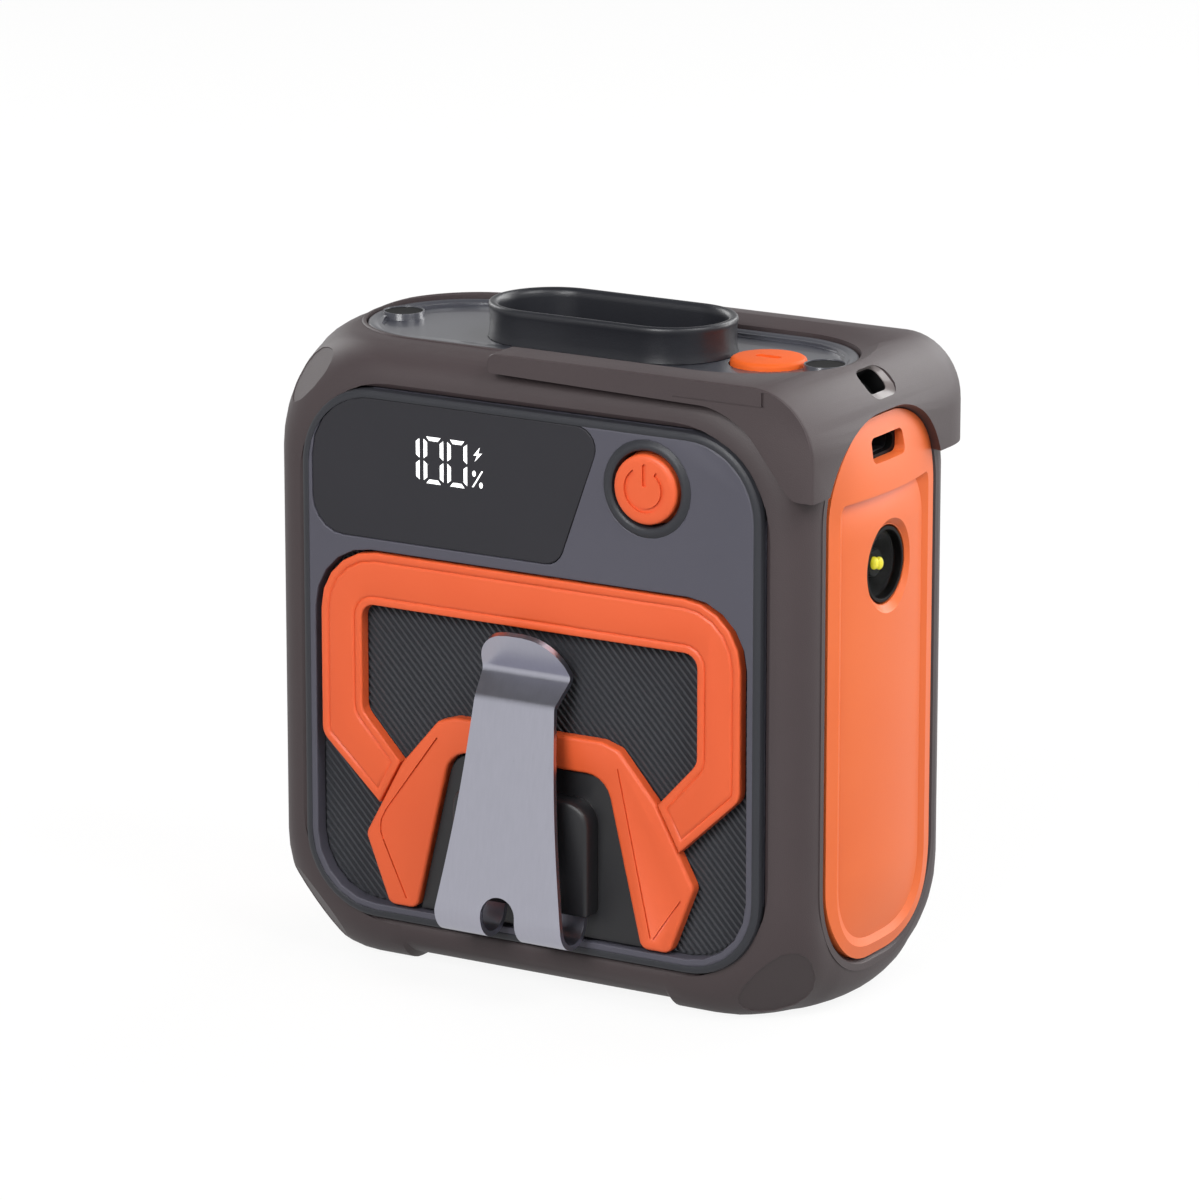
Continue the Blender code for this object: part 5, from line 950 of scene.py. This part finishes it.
strip = carve(strip, prism(leg_hole, "y", BEND_Y - OVERLAP, LEG_HOLE_BACK))
clip = piece("belt_clip", strip, steel, None, ["clip_leg", "clip_tongue"])
reach = Vector((0, -1.0, 0.24))         # not used below
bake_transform(clip)

# %% [markdown]
# ## Top deck, outlet and light button
# The deck is a dark plate with a raised rim and an eyelet for a lanyard at each end. The outlet is a
# stadium tube with a soft lip, drawn as outlines at many heights. The light button is spun.

# %% Deck
EYELET_X, EYELET_HOLE, EYELET_LOW, EYELET_TOP = 39.6, 3.2, 101.3, 104.2
# A near-black plug fills each eyelet to just under its top: painted shade for the depth of the hole.
SHADE_PLUG_R, SHADE_PLUG_LOW, SHADE_PLUG_TOP = EYELET_HOLE - 0.02, 101.4, 104.0
DECK_R, DECK_FACE = 0.25, 102.9
CUTTER_TOP, BEAD_CUT_LOW = 106.0, 100.0
DECK_SPAN = block((-60, -10), (60, 60))         # wider than the deck
BEAD_LEVELS = [(102.0, -0.35), (103.75, -0.35), (103.95, -0.6), (104.0, -1.0), (103.9, -1.6), (103.5, -2.4),
               (103.2, -3.0), (102.0, -3.1)]


def eyelet_cutter(low, place):
    return spun([(0, low), (EYELET_HOLE, low), (EYELET_HOLE, CUTTER_TOP), (0, CUTTER_TOP)], place, "z", 48)


deck = carve(merged("top_deck"), prism(DECK_SPAN, "z", EYELET_TOP, ABOVE_ALL))
for side in (-1, 1):
    deck = carve(deck, eyelet_cutter(EYELET_LOW, (side * EYELET_X, MIDDLE)))
rounded(deck, DECK_R, 2, 50, lambda spot, run: spot.z > DECK_FACE)
piece("deck_plate", deck, deck_gloss, stands_for=["top_deck"], smooth=20)
deck_bead = hull([(level, stadium(DECK_LENGTH + grow, DECK_WIDTH + grow, (0, MIDDLE)))
                  for level, grow in BEAD_LEVELS], "z", 20)
for side in (-1, 1):
    place = (side * EYELET_X, MIDDLE)
    deck_bead = carve(deck_bead, eyelet_cutter(BEAD_CUT_LOW, place))
    shade_plug = spun([(0, SHADE_PLUG_LOW), (SHADE_PLUG_R, SHADE_PLUG_LOW), (SHADE_PLUG_R, SHADE_PLUG_TOP), (0, SHADE_PLUG_TOP)], place, "z", 48)
    piece("eyelet_shade_" + ("left", "", "right")[side + 1], shade_plug, black_and_hole_shade)
piece("deck_bead", deck_bead, deck_gloss, smooth=40)

# %% Outlet
OUTLET_X, OUTLET_LONG, OUTLET_WIDE, WALL = 0.4, 21.6, 10.4, 1.5
OUTLET_LEVELS = [
    (94.0, 0.0), (102.9, 0.0), (103.2, 0.25), (103.9, 0.1), (104.8, 0.0), (107.4, 0.0), (107.9, 0.12),
    (108.4, 0.2), (108.8, 0.12), (109.02, -0.1), (109.08, -0.45), (109.0, -0.85), (108.75, -1.2),
    (108.3, -1.42), (107.6, -WALL), (94.5, -WALL)]
tube = hull([(level, stadium(OUTLET_LONG + grow, OUTLET_WIDE + grow, (OUTLET_X, MIDDLE)))
             for level, grow in OUTLET_LEVELS], "z", segments=20)
piece("outlet_tube", tube, outlet_black, stands_for=["outlet_nozzle"], smooth=40)

# %% Light button
LIGHT_X, LIGHT_R, LIGHT_TOP = 29.3, 6.2, 104.2
FLANGE_R, FLANGE_TOP, FLANGE_LOW, STEM_R, STEM_LOW = LIGHT_R + 0.7, 101.0, 100.4, 2.0, 95.5
BAR_LONG, BAR_SHORT, BAR_END_R, BAR_DEEP = 2.2, 0.8, 0.5, 0.4
lamp_key = spun([(0, LIGHT_TOP), (5.2, LIGHT_TOP - 0.03), (5.75, LIGHT_TOP - 0.12), (6.05, LIGHT_TOP - 0.32),
                 (LIGHT_R, LIGHT_TOP - 0.65), (LIGHT_R, FLANGE_TOP), (FLANGE_R, FLANGE_TOP),
                 (FLANGE_R, FLANGE_LOW), (STEM_R, FLANGE_LOW), (STEM_R, STEM_LOW), (0, STEM_LOW)],
                (LIGHT_X, MIDDLE), "z", 96)
sign = block((LIGHT_X - BAR_LONG, MIDDLE - BAR_SHORT), (LIGHT_X + BAR_LONG, MIDDLE + BAR_SHORT), BAR_END_R)
lamp_key = carve(lamp_key, prism(sign, "z", LIGHT_TOP - BAR_DEEP, LIGHT_TOP + 1, 4))
piece("light_key", lamp_key, shaded_light_key_orange, "light_button", ["light_button"])

# %% [markdown]
# ## Side panels
# Each side has an orange panel that bulges gently and holds a shallow field. A fine grid is pushed out to
# the bulge and thickened, then kept inside the panel's outline. The right one is carved for the charging
# slot and the torch. The left one is the same panel, mirrored and with its faces turned outwards again.

# %% Panels
BULGE, RUN, PANEL_BACK = 2.18, 16.0, 45.0
PANEL_CUT = (44.0, 54.0)                # from behind the panel to in front of its bulge
GRID_WIDE, GRID_TALL, GRID_MARGIN = 48, 110, 2
FIELD_DEPTH, RAMP_DEPTH, RAMP_RUN = 0.75, 0.9, 7.0
FIELD_LOW, FIELD_HIGH, FIELD_HALF, FIELD_R, FIELD_TOP_R = 10.3, 85.1, 14.3, 11.5, 2.0
WALL_SLOPE, FIELD_EDGE = 0.364, HALF + 0.45     # rise over run of the walls, and where their edge lies
WALL_REACHES = (HALF - 1.0, HALF + 3.0)


def bulge(y, z):
    """How far a panel stands out at a point: most in its middle, nothing at its edge."""
    across = 1 - min(1.0, abs(y - MIDDLE) / SIDE_HALF) ** 2
    inside = min(1.0, max(0.0, min(z - SIDE_LOW, SIDE_HIGH - z)) / RUN)
    return BULGE * across * (1 - (1 - inside) ** 2)


def field_drop(z):
    """How deep the field is: its upper end dips, so that it faces up a little."""
    return FIELD_DEPTH + RAMP_DEPTH * max(0.0, 1 - (FIELD_HIGH - z) / RAMP_RUN) ** 2


def pillow(drop):
    """A bulging block, its face moved in by a drop that may change with height."""
    shape = bmesh.new()
    bmesh.ops.create_grid(shape, x_segments=GRID_WIDE, y_segments=GRID_TALL, size=0.5)
    wide, tall = 2 * SIDE_HALF + GRID_MARGIN, SIDE_HIGH - SIDE_LOW + GRID_MARGIN
    for point in shape.verts:
        y, z = MIDDLE + point.co.x * wide, (SIDE_LOW + SIDE_HIGH) / 2 + point.co.y * tall
        point.co = Vector((HALF - drop(z) + bulge(y, z), y, z))
    for point in points_of(bmesh.ops.extrude_face_region(shape, geom=shape.faces[:])):
        point.co.x = PANEL_BACK
    return outward(shape)


def field_corners(grow):
    half, low = FIELD_HALF + grow, FIELD_LOW - grow
    return [(MIDDLE - half, low, FIELD_R + grow), (MIDDLE + half, low, FIELD_R + grow),
            (MIDDLE + half, FIELD_HIGH, FIELD_TOP_R), (MIDDLE - half, FIELD_HIGH, FIELD_TOP_R)]


def side_panel():
    """A panel with its field, whose walls slope outwards except at the upper end."""
    shape = carve(pillow(lambda z: 0.0), prism(side_corners(), "x", *PANEL_CUT, 16), "INTERSECT")
    walls = hull([(reach, field_corners((reach - FIELD_EDGE) / WALL_SLOPE)) for reach in WALL_REACHES],
                 "x", 14, closed=False)
    return carve(shape, carve(walls, pillow(field_drop)))


print("panel stands out by", round(bulge(MIDDLE, HEIGHT / 2), 2), "mm")

# %% Right and left panel
SLOT_Z, SLOT_HALF, SLOT_TALL, SLOT_R = 92.2, 5.2, 2.0, 1.1
FLARE_FROM, FLARE_TO, FLARE = 50.9, 51.7, (1.04, 1.09)
TORCH_Y, TORCH_Z, TORCH_R, TORCH_FACE = MIDDLE + 0.7, 72.5, 6.5, 50.4
TORCH = (TORCH_Y, TORCH_Z)
DISH_R, DISH_OUT = 7.7, TORCH_FACE + 2.6
SHROUD_LOW, SHROUD_TOP, SHROUD_GAP = 48.4, 49.5, 0.05
PORT_HALF, PORT_TALL, PORT_CUT = 4.3, 1.4, (48.0, 50.0)
WAY_IN, WAY_OUT = 43.0, 55.0            # the slot and the torch's hole go right through the panel


def slot_corners(gap=0.0):
    half, tall = SLOT_HALF - gap, SLOT_TALL - gap
    return block((MIDDLE - half, SLOT_Z - tall), (MIDDLE + half, SLOT_Z + tall), SLOT_R)


right = carve(side_panel(), prism(slot_corners(), "x", WAY_IN, WAY_OUT, 6))
right = carve(right, prism(slot_corners(), "x", FLARE_FROM, FLARE_TO, 6, FLARE))
right = carve(right, spun([(0, WAY_IN), (TORCH_R, WAY_IN), (TORCH_R, TORCH_FACE), (TORCH_R + 0.1, TORCH_FACE),
                           (DISH_R, TORCH_FACE + 1.0), (DISH_R + 1.6, DISH_OUT), (0, DISH_OUT)],
                          TORCH, "x", 96))
shroud = carve(prism(slot_corners(SHROUD_GAP), "x", SHROUD_LOW, SHROUD_TOP, 6),
               prism(stadium(PORT_HALF, PORT_TALL, (MIDDLE, SLOT_Z)), "x", *PORT_CUT, 8))
piece("port_shroud", shroud, black_and_hole_shade)
piece("right_panel", right, lit_side_orange, stands_for=["side_panel_right"], smooth=24)
left = side_panel()
bmesh.ops.scale(left, vec=(-1, 1, 1), verts=left.verts)
piece("left_panel", outward(left), lit_side_orange, stands_for=["side_panel_left"], smooth=24)

# %% [markdown]
# ## Torch
# A black cup narrows to the lamp, two round phosphor domes on a small base, behind a clear domed lens.

# %% Torch
CUP_R, CUP_LOW, SEAT_X, CUP_FLOOR = TORCH_R - 0.3, 44.4, 48.7, 45.4
cup = spun([(0, CUP_LOW), (CUP_R, CUP_LOW), (CUP_R, TORCH_FACE - 0.1), (CUP_R - 0.1, TORCH_FACE),
            (CUP_R - 0.5, TORCH_FACE), (CUP_R - 0.6, TORCH_FACE - 0.1), (CUP_R - 0.6, SEAT_X), (5.0, SEAT_X),
            (4.6, 48.0), (3.6, 46.3), (2.9, CUP_FLOOR), (0, CUP_FLOOR)], TORCH, "x", 72)
piece("torch_cup", cup, black_and_hole_shade, stands_for=["torch_reflector"])
glass = spun([(0, 49.75), (5.25, 49.55), (5.25, 49.75), (4.6, 49.95), (3.2, 50.15), (1.6, 50.22), (0, 50.25)],
             TORCH, "x", 72)
piece("torch_glass", glass, lens, stands_for=["torch_lens"])
DOME_X, DOME_SHIFT, DOME_SLANT, DOME_SIZE = 48.8, 0.8, 0.22, (0.7, 0.78, 1.05, 1)
domes = bmesh.new()
for shift in (-DOME_SHIFT, DOME_SHIFT):
    spot = Matrix.Translation((DOME_X, TORCH_Y + shift, TORCH_Z - DOME_SLANT * shift))
    bmesh.ops.create_uvsphere(domes, u_segments=24, v_segments=16, radius=1.0,
                              matrix=spot @ Matrix.Diagonal(DOME_SIZE))
piece("torch_lamp", domes, phosphor_painted_glow, stands_for=["torch_led"])
post = spun([(0, 45.5), (2.6, 45.5), (2.3, 48.4), (2.1, 48.6), (0, 48.6)], TORCH, "x", 48)
piece("torch_post", post, black_and_hole_shade)

# %% [markdown]
# ## Back: intake grille and screws
# The photograph does not show the back. Air has to come in there, so a round grille lies in the rear shell,
# and four countersunk screws with a cross recess hold the shells together.

# %% Back
BARS_R = 0.2
intake = rounded(merged("intake_grille"), BARS_R, 2, 50, lambda spot, run: spot.y > DEPTH)
piece("intake_bars", intake, black, stands_for=["intake_grille"], smooth=20)

SCREW_IN, SCREW_TOP = 7.0, DEPTH + PANEL_PROUD - 0.3
CROSS_LONG, CROSS_SHORT, CROSS_DEEP = 1.5, 0.28, 0.8
SCREWS = [(side * (OPEN_HALF - SCREW_IN), z) for side in (-1, 1)
          for z in (OPEN_LOW + SCREW_IN, OPEN_HIGH - SCREW_IN)]
for count, (x, z) in enumerate(SCREWS, 1):
    head = spun([(0, SCREW_TOP - 1.4), (1.4, SCREW_TOP - 1.4), (2.5, SCREW_TOP - 1.1), (2.6, SCREW_TOP - 0.6),
                 (2.45, SCREW_TOP - 0.25), (1.9, SCREW_TOP - 0.05), (0, SCREW_TOP)], (x, z), "y", 48)
    for long, short in ((CROSS_LONG, CROSS_SHORT), (CROSS_SHORT, CROSS_LONG)):
        head = carve(head, prism(block((x - long, z - short), (x + long, z + short)), "y",
                                 SCREW_TOP - CROSS_DEEP, SCREW_TOP + 1))
    piece(f"screw_head_{count}", head, bright, stands_for=[f"rear_screw_{count}"])

# %% [markdown]
# ## Inner pieces
# What is left of the CAD model sits inside the case or shows through the outlet and the intake. Each node
# keeps its shape and gets the finish of its material.

# %% Finishes of the inner nodes
INNER = {
    black: ("usb_port", "display_module", "power_switch", "light_switch", "scroll_housing", "scroll_cover",
            "impeller", "motor_base"),
    bright: ("motor_shaft", "rotor_cup", "bearing_front", "bearing_rear"),
    copper: ("motor_stator",),
    board: ("main_board", "side_board", "light_board"),
    wrap: ("battery_pack",),
}
for paint, nodes in INNER.items():
    for node in nodes:
        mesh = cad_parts[node].data
        mesh.materials.clear()
        mesh.materials.append(paint.block)
print("inner nodes finished:", sum(len(nodes) for nodes in INNER.values()))
